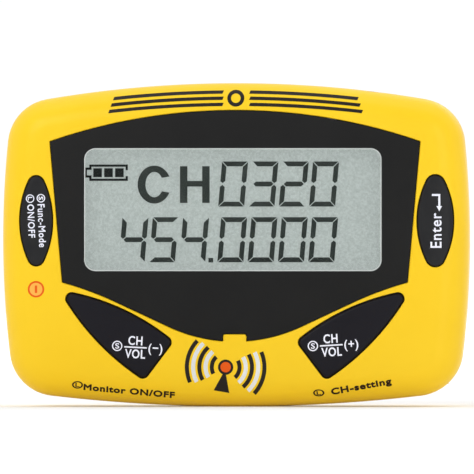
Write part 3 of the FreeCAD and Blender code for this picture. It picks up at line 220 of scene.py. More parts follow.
def case_bends():
    """Eight tangent arcs: right side, corner, top, corner, left side, corner, bottom, corner."""
    large = [
        (point(HALF_WIDTH - SIDE_RADIUS, WIDEST), SIDE_RADIUS),
        (point(0, HALF_HEIGHT - TOP_RADIUS), TOP_RADIUS),
        (point(SIDE_RADIUS - HALF_WIDTH, WIDEST), SIDE_RADIUS),
        (point(0, BOTTOM_RADIUS - HALF_HEIGHT), BOTTOM_RADIUS),
    ]
    corners = []
    for number, (across, up) in enumerate(CORNERS):
        centre, radius = large[number]
        following, next_radius = large[(number + 1) % 4]
        corners.append(crossing(centre, radius - CORNER_RADIUS, following, next_radius - CORNER_RADIUS,
                                point(across * HALF_WIDTH, up * HALF_HEIGHT)))
    bends = []
    for number, (centre, radius) in enumerate(large):
        before = corners[number - 1]
        after = corners[number]
        following = large[(number + 1) % 4][0]
        bends.append(bend(centre, radius, before, after))
        bends.append(bend(after, CORNER_RADIUS, 2 * after - centre, 2 * after - following))
    return bends


def plate_loop(step):
    """The face plate, with a notch in its lower edge for the case's tab."""
    over = point(0, PLATE_APEX - PLATE_RADIUS)
    high = point(PLATE_TOP_HALF, over[1] + math.sqrt(PLATE_RADIUS ** 2 - PLATE_TOP_HALF ** 2))
    belly = point(0, BELLY_RADIUS - BELLY_DEPTH)
    along = point(math.cos(FLANK_ANGLE), math.sin(FLANK_ANGLE))
    below = point(math.sin(FLANK_ANGLE), -math.cos(FLANK_ANGLE))
    flank_low = belly + below * BELLY_RADIUS
    low = point(*PLATE_LOW_CORNER)
    reach = low - flank_low - below * SHOULDER_RADIUS
    run = reach @ along - math.sqrt((reach @ along) ** 2 - reach @ reach + SHOULDER_RADIUS ** 2)
    flank_high = flank_low + along * run
    shoulder = flank_high + below * SHOULDER_RADIUS
    foot = point(TAB_HALF, belly[1] - math.sqrt(BELLY_RADIUS ** 2 - TAB_HALF ** 2))
    tab_middle = point(TAB_HALF - TAB_ROUND, TAB_TOP - TAB_ROUND)
    tab_side = point(TAB_HALF, tab_middle[1])
    tab_over = point(tab_middle[0], TAB_TOP)
    corner = 0.3
    half = [
        bend(tab_middle, TAB_ROUND, tab_over, tab_side, clockwise=True),
        bend(belly, BELLY_RADIUS, foot, flank_low),
        bend(shoulder, SHOULDER_RADIUS, flank_high, low + point(-corner, -corner * 0.3), clockwise=True),
        bend(low + point(-corner, corner * 0.6), corner, low + point(-corner * 0.6, 0),
             low + point(0, corner * 0.6)),
    ]
    other_half = [mirrored_bend(*arc) for arc in reversed(half)]
    return trace([bend(over, PLATE_RADIUS, high, high * (-1, 1)), *other_half, *half], step)


def rounded_loop(middle, size, radius, step):
    """A rectangle with rounded corners."""
    bends = []
    for number, (across, up) in enumerate(CORNERS):
        centre = point(middle[0] + across * (size[0] / 2 - radius), middle[1] + up * (size[1] / 2 - radius))
        bends.append((centre, radius, number * math.pi / 2, (number + 1) * math.pi / 2))
    return trace(bends, step)


def oval_loop(step):
    """The right-hand oval button: two long side arcs and two small end arcs."""
    middle = point(*OVAL_MIDDLE)
    rise = OVAL_HALF_HEIGHT - OVAL_END_RADIUS
    reach = point(math.sqrt((OVAL_SIDE_RADIUS - OVAL_END_RADIUS) ** 2 - rise ** 2), 0)
    top = middle + point(0, rise)
    low = middle - point(0, rise)
    left = middle - reach
    right = middle + reach
    return trace([
        bend(left, OVAL_SIDE_RADIUS, low, top),
        bend(top, OVAL_END_RADIUS, 2 * top - left, 2 * top - right),
        bend(right, OVAL_SIDE_RADIUS, top, low),
        bend(low, OVAL_END_RADIUS, 2 * low - right, 2 * low - left),
    ], step)


def shield_loop(step):
    """The right-hand lower button: two bowed edges and a straight inner one."""
    outer = point(*SHIELD_OUTER)
    inner = point(*SHIELD_INNER)
    tip = point(*SHIELD_TIP)
    over = crossing(outer, SHIELD_TOP_RADIUS - SHIELD_ROUND, inner, SHIELD_TOP_RADIUS - SHIELD_ROUND,
                    outer + point(1, -3) * SHIELD_TOP_RADIUS)
    aside = crossing(outer, SHIELD_SIDE_RADIUS - SHIELD_ROUND, tip, SHIELD_SIDE_RADIUS - SHIELD_ROUND,
                     outer + point(-1, 1) * SHIELD_SIDE_RADIUS)
    straight = (tip - inner) / np.linalg.norm(tip - inner)
    edge = point(straight[1], -straight[0]) * SHIELD_ROUND
    return trace([
        bend(over, SHIELD_TOP_RADIUS, 2 * outer - over, 2 * inner - over),
        bend(inner, SHIELD_ROUND, 2 * inner - over, inner + edge),
        bend(tip, SHIELD_ROUND, tip + edge, 2 * tip - aside),
        bend(aside, SHIELD_SIDE_RADIUS, 2 * tip - aside, 2 * outer - aside),
        bend(outer, SHIELD_ROUND, 2 * outer - aside, 2 * outer - over),
    ], step)


# ---- the domed front as a surface

CASE_BENDS = case_bends()


def inside_case(points):
    """How far inside the case's outline points lie, and the outward direction there."""
    depth = np.full(len(points), np.inf)
    outward = np.zeros((len(points), 2))
    for centre, radius, start, end in CASE_BENDS:
        away = points - centre
        reach = np.linalg.norm(away, axis=1)
        turn = np.mod(np.arctan2(away[:, 1], away[:, 0]) - start, 2 * math.pi)
        chosen = (turn <= end - start + 1e-6) & (radius - reach < depth)
        depth[chosen] = (radius - reach)[chosen]
        outward[chosen] = away[chosen] / reach[chosen, None]
    return depth, outward


def front(points, sink=0.0):
    """The depth of the domed, round-edged front under points, or of a surface that far inside."""
    points = np.atleast_2d(points)
    depth, outward = inside_case(points)
    crown = CROWN_RADIUS - sink
    edge = FRONT_EDGE - sink
    dome = CROWN_CENTRE - np.sqrt(crown ** 2 - (points ** 2).sum(1))
    beyond = edge - (depth - sink)
    foot = points - outward * beyond[:, None]
    ball = CROWN_CENTRE - np.sqrt((crown - edge) ** 2 - (foot ** 2).sum(1))
    touch = edge * (foot * outward).sum(1) / (crown - edge)
    rounded = ball - np.sqrt(np.maximum(edge ** 2 - beyond ** 2, 0))
    return np.where(beyond > touch, rounded, dome)


def lower(sink):
    """The front's surface taken in by a depth, as a function of points."""
    return lambda points: front(points, sink)


def level(depth):
    """A flat surface at a depth, as a function of points."""
    return lambda points: np.full(len(points), float(depth))


# ---- meshes

def within(points, loop):
    """Which points lie inside a closed loop."""
    first = loop
    last = np.roll(loop, -1, axis=0)
    result = np.zeros(len(points), bool)
    for (ax, az), (bx, bz) in zip(first, last):
        if az == bz:
            continue
        spans = (az > points[:, 1]) != (bz > points[:, 1])
        result ^= spans & (points[:, 0] < (bx - ax) * (points[:, 1] - az) / (bz - az) + ax)
    return result


def clear_of(points, loops, distance):
    """The points that keep a distance from every loop's own points."""
    every = np.vstack(loops)
    tree = kdtree.KDTree(len(every))
    for number, (across, up) in enumerate(every):
        tree.insert((across, up, 0), number)
    tree.balance()
    return np.array([spot for spot in points if tree.find((*spot, 0))[2] > distance]).reshape(-1, 2)


def lattice(loop, spacing):
    """Evenly spread points over a loop's box, in staggered rows."""
    low = loop.min(0)
    high = loop.max(0)
    rows = []
    for number, up in enumerate(np.arange(low[1], high[1], spacing * math.sqrt(3) / 2)):
        across = np.arange(low[0] + (number % 2) * spacing / 2, high[0], spacing)
        rows.append(np.column_stack((across, np.full(len(across), up))))
    return np.vstack(rows)


def spread(outer, holes, spacing, extra=()):
    """Points inside a loop and outside its holes, for a smooth mesh between them."""
    kept = []
    for points, clearance in [*extra, (lattice(outer, spacing), spacing * 0.6)]:
        loops = [outer, *holes] + [group for group in kept if len(group)]
        points = points[within(points, outer)]
        for hole in holes:
            points = points[~within(points, hole)]
        kept.append(clear_of(points, loops, clearance))
    return np.vstack(kept)


def linked(name, data):
    """A new object in the scene."""
    item = bpy.data.objects.new(name, data)
    bpy.context.scene.collection.objects.link(item)
    return item


class Shape:
    """Collects points, in millimetres, and faces, and makes a mesh object of them."""

    def __init__(self):
        self.points = []
        self.faces = []

    def row(self, flat, depth):
        """Add points given by their place in the front view and their depth."""
        start = len(self.points)
        for (across, up), y in zip(flat, depth):
            self.points.append((across, y, up))
        return list(range(start, len(self.points)))

    def strip(self, first, second):
        """Quads between two closed rows of as many points."""
        for number in range(len(first)):
            following = (number + 1) % len(first)
            self.faces.append((first[number], first[following], second[following], second[number]))

    def ring(self, spots):
        """Add a closed row of points given by their place in space."""
        start = len(self.points)
        self.points += spots
        return list(range(start, len(self.points)))

    def tube(self, rows):
        """Join closed rows one after another, and close both ends."""
        for first, last in zip(rows, rows[1:]):
            self.strip(first, last)
        self.faces += [tuple(rows[0]), tuple(rows[-1])]

    def sheet(self, outer, holes, points, surface):
        """A triangulated surface inside a loop, round its holes. Returns each loop's row."""
        loops = [outer, *holes]
        flat = [Vector(spot) for loop in loops for spot in loop] + [Vector(spot) for spot in points]
        edges = []
        spans = []
        start = 0
        for loop in loops:
            count = len(loop)
            edges += [(start + number, start + (number + 1) % count) for number in range(count)]
            spans.append((start, start + count))
            start += count
        found, _, faces, sources = geometry.delaunay_2d_cdt(flat, edges, [], 0, 1e-6)[:4]
        xz = np.array([tuple(spot) for spot in found])
        row = self.row(xz, surface(xz))
        faces = np.array(faces)
        middles = xz[faces].mean(1)
        kept = within(middles, outer)
        for hole in holes:
            kept &= ~within(middles, hole)
        self.faces += [tuple(row[corner] for corner in face) for face in faces[kept]]
        place = {source: row[number] for number, group in enumerate(sources) for source in group}
        return [[place[number] for number in range(first, last)] for first, last in spans]

    def roll(self, row, loop, towards, surface, radius):
        """Round a sheet's edge over, from its row to a wall that stands on the loop."""
        steps = 4
        for number in range(1, steps + 1):
            turn = math.pi / 2 * (1 - number / steps)
            flat = grow(loop, towards * radius * (1 - math.cos(turn)))
            following = self.row(flat, surface(flat) + radius * (1 - math.sin(turn)))
            self.strip(row, following)
            row = following
        return row

    def finish(self, name, material, body, replaces=(), sharp=SMOOTH_ANGLE):
        """The mesh object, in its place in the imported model, on the body that it rides."""
        mesh = bpy.data.meshes.new(name)
        placed = [(x * MM, (y + SEAM_DEPTH) * MM, (z + MIDDLE_UP) * MM) for x, y, z in self.points]
        mesh.from_pydata(placed, [], self.faces)
        work = bmesh.new()
        work.from_mesh(mesh)
        bmesh.ops.remove_doubles(work, verts=work.verts, dist=1e-7)
        bmesh.ops.recalc_face_normals(work, faces=work.faces)
        work.to_mesh(mesh)
        work.free()
        mesh.polygons.foreach_set("use_smooth", [True] * len(mesh.polygons))
        mesh.set_sharp_from_angle(angle=math.radians(sharp))
        item = linked(name, mesh)
        mesh.materials.append(material)
        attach(item, body)
        if replaces:
            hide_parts(*replaces)
        return item


def slab(shape, outer, holes, top, bottom, rim=0.0, spacing=2.0, extra=()):
    """A closed piece between two surfaces, with its upper edges rounded over."""
    loops = [outer, *holes]
    towards = [-1] + [1] * len(holes)
    inset = [grow(loop, side * rim) for loop, side in zip(loops, towards)]
    rows = shape.sheet(inset[0], inset[1:], spread(inset[0], inset[1:], spacing, extra), top)
    under = shape.sheet(outer, holes, spread(outer, holes, spacing * 2), bottom)
    for row, base, loop, side in zip(rows, under, loops, towards):
        if rim:
            row = shape.roll(row, loop, side, top, rim)
        shape.strip(row, base)


# ---- materials

def socket_colour(colour):
    return (*colour, 1.0)


def new_material(name):
    """A new material, its node tree and its shader."""
    material = bpy.data.materials.new(name)
    material.use_nodes = True
    return material, material.node_tree, material.node_tree.nodes["Principled BSDF"]


def adjust(node, **values):
    """Set some of a node's input sockets by name."""
    for name, value in values.items():
        node.inputs[name.replace("_", " ")].default_value = value
    return node


def add(tree, kind, **values):
    """A new node with some of its input sockets set by name."""
    return adjust(tree.nodes.new(kind), **values)


def place_of(tree):
    return tree.nodes.new("ShaderNodeTexCoord").outputs["Object"]


def noise(tree, scale, detail=3.0, roughness=0.55):
    node = add(tree, "ShaderNodeTexNoise", Scale=scale, Detail=detail, Roughness=roughness)
    tree.links.new(place_of(tree), node.inputs["Vector"])
    return node.outputs["Fac"]


def ramp(tree, source, stops):
    """A colour ramp over a source, from pairs of place and colour."""
    node = tree.nodes.new("ShaderNodeValToRGB")
    while len(node.color_ramp.elements) < len(stops):
        node.color_ramp.elements.new(0.5)
    for element, (place, colour) in zip(node.color_ramp.elements, stops):
        element.position = place
        element.color = socket_colour(colour)
    tree.links.new(source, node.inputs["Fac"])
    return node.outputs["Color"]


def bump(tree, shader, source, height):
    node = add(tree, "ShaderNodeBump", Strength=1.0, Distance=height)
    tree.links.new(source, node.inputs["Height"])
    tree.links.new(node.outputs["Normal"], shader.inputs["Normal"])


def spread_value(tree, source, low, high):
    node = add(tree, "ShaderNodeMapRange", To_Min=low, To_Max=high)
    tree.links.new(source, node.inputs["Value"])
    return node.outputs["Result"]


def moulded(name, dark, light, roughness=(0.3, 0.42), grain=0.012, grain_scale=5200.0, coat=0.0,
            blotch=60.0, metallic=0.0, specular=0.5):
    """Moulded plastic or plain metal: a slow colour variation, fine grain and uneven gloss."""
    material, tree, shader = new_material(name)
    tree.links.new(ramp(tree, noise(tree, blotch), ((0.35, dark), (0.65, light))),
                   shader.inputs["Base Color"])
    tree.links.new(spread_value(tree, noise(tree, blotch * 6), *roughness), shader.inputs["Roughness"])
    adjust(shader, Metallic=metallic, Coat_Weight=coat, Coat_Roughness=0.12, Specular_IOR_Level=specular)
    bump(tree, shader, noise(tree, grain_scale, detail=2.0), grain * MM)
    return material


def ink(name, dark, light, specular=0.15):
    return moulded(name, dark, light, roughness=(0.45, 0.55), specular=specular)


YELLOW = moulded("yellow_plastic", (0.905, 0.580, 0.014), (0.925, 0.605, 0.018),
                 roughness=(0.34, 0.42), grain=0.006, grain_scale=2600, blotch=45, specular=0.16)
PANEL = moulded("black_plate", (0.0085, 0.0086, 0.0086), (0.0105, 0.0105, 0.0104),
                roughness=(0.50, 0.62), grain=0.010, grain_scale=3600, specular=0.15)
BUTTON = moulded("button_rubber", (0.0070, 0.0065, 0.0100), (0.0090, 0.0084, 0.0125),
                 roughness=(0.40, 0.50), grain=0.006, grain_scale=3000, specular=0.14)
SIDE_BUTTON = moulded("side_button_rubber", (0.0100, 0.0100, 0.0120), (0.0150, 0.0155, 0.0165),
                      roughness=(0.40, 0.50), grain=0.006, grain_scale=3000, blotch=260, specular=0.2)
LABEL = moulded("white_ink", (0.80, 0.82, 0.92), (0.86, 0.87, 0.97), roughness=(0.5, 0.6))
DARK_INK = ink("black_ink", (0.010, 0.008, 0.006), (0.016, 0.012, 0.009), 0.2)
BROWN_INK = ink("brown_ink", (0.020, 0.008, 0.002), (0.028, 0.011, 0.003))
RED_INK = ink("red_ink", (0.74, 0.095, 0.004), (0.80, 0.11, 0.006))
PALE_INK = ink("pale_orange_ink", (0.92, 0.42, 0.06), (0.94, 0.46, 0.08))
WHITE_INK = moulded("grey_white_ink", (0.62, 0.66, 0.66), (0.78, 0.80, 0.80), roughness=(0.4, 0.5))
CLIP = moulded("black_nylon", (0.016, 0.016, 0.0165), (0.022, 0.022, 0.0225),
               roughness=(0.42, 0.55), grain=0.02, grain_scale=2200)
JACK = moulded("jack_nylon", (0.020, 0.020, 0.021), (0.028, 0.028, 0.029), roughness=(0.35, 0.45))
FOAM = moulded("black_foam", (0.010, 0.010, 0.010), (0.03, 0.03, 0.03), roughness=(0.85, 0.95),
               grain=0.06, grain_scale=3500)
WHITE_PLASTIC = moulded("white_plastic", (0.70, 0.70, 0.68), (0.78, 0.78, 0.76))
STEEL = moulded("zinc_steel", (0.50, 0.50, 0.50), (0.62, 0.62, 0.61), roughness=(0.25, 0.40),
                metallic=1.0, grain=0.01)
NICKEL = moulded("nickel_plate", (0.62, 0.60, 0.57), (0.72, 0.70, 0.66), roughness=(0.18, 0.28),
                 metallic=1.0)
COPPER = moulded("copper_strap", (0.75, 0.34, 0.20), (0.85, 0.42, 0.26), roughness=(0.25, 0.4),
                 metallic=1.0)
EPOXY = moulded("chip_epoxy", (0.018, 0.018, 0.018), (0.03, 0.03, 0.03), roughness=(0.55, 0.7),
                grain=0.02)
CELL_WRAP = moulded("cell_wrap", (0.03, 0.032, 0.04), (0.045, 0.047, 0.055), roughness=(0.2, 0.3),
                    coat=0.6)
MASK = moulded("board_mask", (0.010, 0.085, 0.030), (0.016, 0.12, 0.045), roughness=(0.3, 0.4),
               coat=0.3, blotch=300)
ZEBRA = moulded("zebra_rubber", (0.55, 0.25, 0.28), (0.68, 0.34, 0.38), roughness=(0.6, 0.7))
LED = moulded("led_body", (0.85, 0.80, 0.55), (0.92, 0.9, 0.7))
GUIDE = moulded("guide_plastic", (0.80, 0.84, 0.84), (0.9, 0.92, 0.92))
SEGMENT = moulded("display_segments", (0.030, 0.038, 0.035), (0.038, 0.046, 0.042),
                  roughness=(0.6, 0.7), grain=0.0, specular=0.1)
ICON = moulded("display_icon", (0.010, 0.013, 0.012), (0.014, 0.017, 0.016),
               roughness=(0.6, 0.7), grain=0.0, specular=0.1)


def reflector_material():
    """The display's grey-green reflector, with a fine sparkle, and a glow that stands for a back light:
    painted light, strong enough to even out the shade inside the deep window.
    """
    material, tree, shader = new_material("reflector_film")
    speckle = noise(tree, 2900, roughness=0.6)
    lit = ramp(tree, speckle, ((0.35, (0.100, 0.110, 0.106)), (0.65, (0.130, 0.142, 0.138))))
    # painted light: the film gives off light that lifts the shade of the window's deep walls and softens
    # the segments' shadows
    painted_glow = ramp(tree, speckle, ((0.35, (0.315, 0.348, 0.337)), (0.65, (0.400, 0.440, 0.427))))
    tree.links.new(lit, shader.inputs["Base Color"])
    tree.links.new(painted_glow, shader.inputs["Emission Color"])
    adjust(shader, Emission_Strength=1.0, Roughness=0.75, Specular_IOR_Level=0.2)
    bump(tree, shader, speckle, 0.004 * MM)
    return material


def clear_material(name, tint, gloss):
    """A see-through sheet that mirrors a little at its surface."""
    material, tree, shader = new_material(name)
    clear = add(tree, "ShaderNodeBsdfTransparent", Color=socket_colour(tint))
    mirror = add(tree, "ShaderNodeBsdfGlossy", Color=(1, 1, 1, 1), Roughness=0.03)
    edge = add(tree, "ShaderNodeFresnel", IOR=1.3)
    share = add(tree, "ShaderNodeMath")
    share.operation = "MULTIPLY"
    share.inputs[1].default_value = gloss
    tree.links.new(edge.outputs["Fac"], share.inputs[0])
    mix = tree.nodes.new("ShaderNodeMixShader")
    tree.links.new(share.outputs["Value"], mix.inputs["Fac"])
    tree.links.new(clear.outputs["BSDF"], mix.inputs[1])
    tree.links.new(mirror.outputs["BSDF"], mix.inputs[2])
    tree.links.new(mix.outputs["Shader"], tree.nodes["Material Output"].inputs["Surface"])
    tree.nodes.remove(shader)
    return material


REFLECTOR = reflector_material()
LENS = clear_material("clear_lens", (0.990, 0.992, 0.991), 0.15)
PANE = clear_material("display_glass", (0.990, 0.994, 0.992), 0.03)
# a pale opaque ring: a painted highlight of the lens's edge
LENS_HIGHLIGHT = moulded("lens_painted_highlight", (0.66, 0.70, 0.68), (0.74, 0.78, 0.76), roughness=(0.25, 0.35))


# ---- the outlines that pieces share

CASE = trace(CASE_BENDS, 1.3)
CASE_OUTWARD = inside_case(CASE)[1]
PLATE = plate_loop(0.8)
WINDOW = rounded_loop(WINDOW_MIDDLE, WINDOW_SIZE, WINDOW_ROUND, 1.0)
OVAL = oval_loop(0.5)
SHIELD = shield_loop(0.6)
BUTTONS = {
    "mode_button": mirrored(OVAL) * (MODE_NARROWING, 1) + (MODE_SHIFT, 0),
    "enter_button": grow(OVAL, ENTER_GROWTH),
    "down_button": mirrored(SHIELD),
    "up_button": SHIELD,
}


def case_ring(depth):
    return CASE - CASE_OUTWARD * depth


def ring_run(shape, row, loops, surface):
    """Carry on from a row through more loops that lie on one surface."""
    for flat in loops:
        following = shape.row(flat, surface(flat))
        shape.strip(row, following)
        row = following
    return row


def cut_away(item, cutter):
    """Cut one mesh object by another and delete the cutter."""
    change = item.modifiers.new("cut", "BOOLEAN")
    change.operation = "DIFFERENCE"
    change.solver = "EXACT"
    change.object = cutter
    graph = bpy.context.evaluated_depsgraph_get()
    cut = bpy.data.meshes.new_from_object(item.evaluated_get(graph))
    item.modifiers.clear()
    item.data = cut
    bpy.data.objects.remove(cutter)
    cut.set_sharp_from_angle(angle=math.radians(SMOOTH_ANGLE))


def rod(name, centre, radius, ends):
    """A plain upright round rod, used only to cut holes."""
    shape = Shape()
    spots = point(*centre) + radius * circle(around(48))
    shape.tube([shape.ring([(*spot, up) for spot in spots]) for up in ends])
    return shape.finish(name, YELLOW, "case")


# ---- the case's front half

JACK_MIDDLE = (24.0, -3.1)
JACK_HOLE = 2.55


def front_case():
    """A domed shell with openings for the face plate, the buttons and the jack."""
    shape = Shape()
    holes = [grow(PLATE, PLATE_GAP)] + [grow(loop, BUTTON_GAP) for loop in BUTTONS.values()]
    rims = [PLATE_OPENING_RIM] + [BUTTON_OPENING_RIM] * len(BUTTONS)
    wide = [grow(loop, rim) for loop, rim in zip(holes, rims)]
    depths = FRONT_EDGE * (1 - np.cos(np.radians(np.arange(0, 91, 6))))
    sheet_ring = 6
    rings = [(case_ring(depth), 0.4) for depth in depths[sheet_ring + 1:]]
    outer = case_ring(depths[sheet_ring])
    rows = shape.sheet(outer, wide, spread(outer, wide, 2.2, rings), front)
    edge = ring_run(shape, rows[0], [case_ring(depth) for depth in depths[sheet_ring - 1::-1]], front)
    inner = case_ring(WALL)
    seam = ring_run(shape, edge, [CASE, inner], level(0))
    under = shape.sheet(inner, holes, spread(inner, holes, 4.0), lower(WALL))
    shape.strip(seam, under[0])
    for row, base, loop, rim in zip(rows[1:], under[1:], holes, rims):
        shape.strip(shape.roll(row, loop, 1, front, rim), base)
    shell = shape.finish("front_case_shell", YELLOW, "case", ["front_case"])
    cut_away(shell, rod("jack_hole_cutter", JACK_MIDDLE, JACK_HOLE, (20.0, 30.0)))


# ---- the face plate, window and display

def face_plate():
    """The plate, and behind it a collar round the window."""
    shape = Shape()
    slab(shape, grow(PLATE, -EDGE_INSET), [WINDOW], front, lower(PLATE_THICKNESS), PLATE_RIM)
    slab(shape, grow(WINDOW, COLLAR_WALL), [WINDOW], lower(PLATE_THICKNESS - 0.1), level(COLLAR_BACK))
    shape.finish("face_plate", PANEL, "case", ["faceplate"])


def window_lens():
    """The clear lens, and a pale ring that frames it: a painted highlight where the lens's edge catches the
    light.
    """
    spacing = 2.4
    lens = Shape()
    slab(lens, grow(WINDOW, -LENS_PLAY), [], lower(LENS_SINK), lower(LENS_SINK + LENS_THICKNESS),
         LENS_RIM, spacing)
    lens.finish("window_lens", LENS, "case", ["display_window"])
    # the pale ring, a painted highlight of the lens's edge
    edge = Shape()
    outer, inner = [grow(WINDOW, -inset) for inset in LENS_HIGHLIGHT_INSETS]
    top, bottom = [lower(depth) for depth in LENS_HIGHLIGHT_DEPTHS]
    slab(edge, outer, [inner], top, bottom, LENS_HIGHLIGHT_RIM, spacing)
    edge.finish("window_lens_painted_highlight", LENS_HIGHLIGHT, "case")


DISPLAY_MIDDLE = (-0.45, 6.2)
DISPLAY_SIZE = (56.0, 25.0)
POLARIZER_FRONT = -8.05
GLASS_MIDDLE = -7.02
REFLECTOR_FRONT = -6.75
REFLECTOR_BACK = -6.55
SHEET_RIM = 0.05
SEGMENT_HALF_DEPTH = 0.015


def contact_strips():
    """The rubber strips under the glass's edges, seen only with the display taken out."""
    shape = Shape()
    for up in (1, -1):
        middle = (DISPLAY_MIDDLE[0], DISPLAY_MIDDLE[1] + up * (DISPLAY_SIZE[1] / 2 - 0.7))
        slab(shape, rounded_loop(middle, (50.0, 1.0), 0.2, 2.0), [], level(REFLECTOR_BACK + 0.02),
             level(REFLECTOR_BACK + 0.4), SHEET_RIM)
    shape.finish("contact_strips", ZEBRA, "case", ["zebra_strips"])


def display_layers():
    """The two glasses and the reflector, as flat sheets."""
    loop = rounded_loop(DISPLAY_MIDDLE, DISPLAY_SIZE, 0.4, 2.0)
    for name, material, slot, replaced, front_depth, back_depth in (
            ("display_front_glass", PANE, "lcd_glass", ["lcd_front_glass", "lcd_front_polarizer"],
             POLARIZER_FRONT, GLASS_MIDDLE - 0.02),
            ("display_rear_glass", PANE, "lcd_glass", ["lcd_rear_glass"],
             GLASS_MIDDLE + 0.02, REFLECTOR_FRONT - 0.01),
            ("display_reflector", REFLECTOR, "reflector_film", ["lcd_reflector"],
             REFLECTOR_FRONT, REFLECTOR_BACK)):
        shape = Shape()
        slab(shape, loop, [], level(front_depth), level(back_depth), SHEET_RIM, 4.0)
        shape.finish(name, material, "case", replaced)


# ---- flat drawings, for prints and segments

def anticlockwise(loop):
    loop = np.array(loop, float)
    following = np.roll(loop, -1, axis=0)
    area = (loop[:, 0] * following[:, 1] - following[:, 0] * loop[:, 1]).sum()
    return loop if area > 0 else loop[::-1]


def band(outer, inner):
    """A closed loop out along one run of points and back along another."""
    return anticlockwise(np.vstack((outer, inner[::-1])))


def disc_loop(middle, radius, squash=1.0):
    """A circle, or an oval lower than it is wide."""
    count = max(20, math.ceil(2 * math.pi * radius / 0.2))
    return point(*middle) + radius * (circle(around(count)) * (1, squash))


def bar_loop(first, last, width):
    """A straight bar between two points, with square ends."""
    first = point(*first)
    last = point(*last)
    along = (last - first) / np.linalg.norm(last - first)
    aside = point(-along[1], along[0]) * width / 2
    return anticlockwise([first - aside, last - aside, last + aside, first + aside])


def fine(loop, step):
    """The loop with points added along its long sides."""
    points = []
    for first, last in zip(loop, np.roll(loop, -1, axis=0)):
        count = max(1, math.ceil(np.linalg.norm(last - first) / step))
        points += [first + (last - first) * number / count for number in range(count)]
    return np.array(points)


def turned(loop, middle, angle):
    """The loop turned about a point."""
    cos = math.cos(angle)
    sin = math.sin(angle)
    return point(*middle) + (np.asarray(loop) - point(*middle)) @ np.array(((cos, sin), (-sin, cos)))


def inked(name, material, body, regions, spacing=0.5):
    """A print on the domed front, from closed regions given as an outline and its holes."""
    shape = Shape()
    for outer, holes in regions:
        loops = [fine(anticlockwise(loop), spacing) for loop in (outer, *holes)]
        slab(shape, loops[0], loops[1:], lower(-PRINT_RISE), lower(PRINT_SINK), spacing=spacing)
    shape.finish(name, material, body)


def thicken(work, weight):
    """Move the rims of flat letters outwards by a weight, which makes their strokes bolder."""
    sides = {}
    for edge in work.edges:
        if not edge.is_boundary:
            continue
        first, last = edge.verts
        along = (last.co - first.co).normalized()
        outward = Vector((along.y, -along.x, 0))
        if outward.dot(edge.link_faces[0].calc_center_median() - first.co) > 0:
            outward.negate()
        for vertex in edge.verts:
            sides.setdefault(vertex, []).append(outward)
    for vertex, found in sides.items():
        total = sum(found, Vector())
        vertex.co += total * weight / max(total.dot(found[0]), 0.5)


def glyphs(text, width, cap, weight):
    """Letters of the built-in font as flat points and triangles, fitted to a width and cap height."""
    def mesh_of(words):
        curve = bpy.data.curves.new("words", "FONT")
        curve.body = words
        curve.space_character = 1.12
        curve.resolution_u = 4
        item = bpy.data.objects.new("words", curve)
        mesh = bpy.data.meshes.new_from_object(item)
        bpy.data.objects.remove(item)
        bpy.data.curves.remove(curve)
        return mesh

    def corners(mesh):
        spots = np.array([vertex.co[:2] for vertex in mesh.vertices])
        return spots.min(0), spots.max(0)

    low, high = corners(mesh_of("H"))
    mesh = mesh_of(text)
    left, right = corners(mesh)
    work = bmesh.new()
    work.from_mesh(mesh)
    for vertex in work.verts:
        vertex.co.x = (vertex.co.x - left[0]) * width / (right[0] - left[0])
        vertex.co.y = (vertex.co.y - low[1]) * cap / (high[1] - low[1])
    bmesh.ops.remove_doubles(work, verts=work.verts, dist=1e-5)
    thicken(work, weight)
    step = 0.3
    for axis, extent in ((Vector((1, 0, 0)), width), (Vector((0, 1, 0)), cap)):
        for place in np.arange(step, extent, step):
            bmesh.ops.bisect_plane(work, geom=work.verts[:] + work.edges[:] + work.faces[:],
                                   plane_co=axis * place, plane_no=axis)
    bmesh.ops.remove_doubles(work, verts=work.verts, dist=1e-5)
    bmesh.ops.triangulate(work, faces=work.faces)
    spots = np.array([vertex.co[:2] for vertex in work.verts])
    work.verts.index_update()
    faces = [tuple(vertex.index for vertex in face.verts) for face in work.faces]
    work.free()
    return spots, faces


def stamp(shape, flat, faces, top, bottom):
    """A thin closed piece from flat triangles: upper face, lower face and the sides between them."""
    upper = shape.row(flat, top(flat))
    under = shape.row(flat, bottom(flat))
    sides = {}
    for face in faces:
        shape.faces.append(tuple(upper[corner] for corner in face))
        shape.faces.append(tuple(under[corner] for corner in reversed(face)))
        for first, last in zip(face, face[1:] + face[:1]):
            if (last, first) in sides:
                del sides[last, first]
            else:
                sides[first, last] = True
    for first, last in sides:
        shape.faces.append((upper[first], upper[last], under[last], under[first]))


def lettered(name, material, body, lines):
    """Lettering on the domed front.

    Each line is its words, its start, its direction, its width, its cap height and its weight.
    """
    shape = Shape()
    for words, start, angle, width, cap, weight in lines:
        spots, faces = glyphs(words, width, cap, weight)
        along = point(math.cos(angle), math.sin(angle))
        upward = point(-along[1], along[0])
        flat = point(*start) + spots[:, :1] * along + spots[:, 1:] * upward
        stamp(shape, flat, faces, lower(-PRINT_RISE), lower(PRINT_SINK))
    shape.finish(name, material, body)


# ---- what the display shows

DIGIT_SIZE = (4.75, 8.1)
DIGIT_PITCH = 5.36
POINT_PITCH = 1.38
POINT_MIDDLE = (0.31, 0.43)
POINT_SIZE = (0.85, 0.8)
BLOCK_PITCH = 1.93
BLOCK_SIZE = (1.53, 1.58)
BLOCK_ROUND = 0.06
STROKE = 1.0
STROKE_TRIM = 0.07
SLANT = math.tan(math.radians(5))
SHOWN = {"0": "abcdef", "2": "abdeg", "3": "abcdg", "4": "bcfg", "5": "acdfg"}


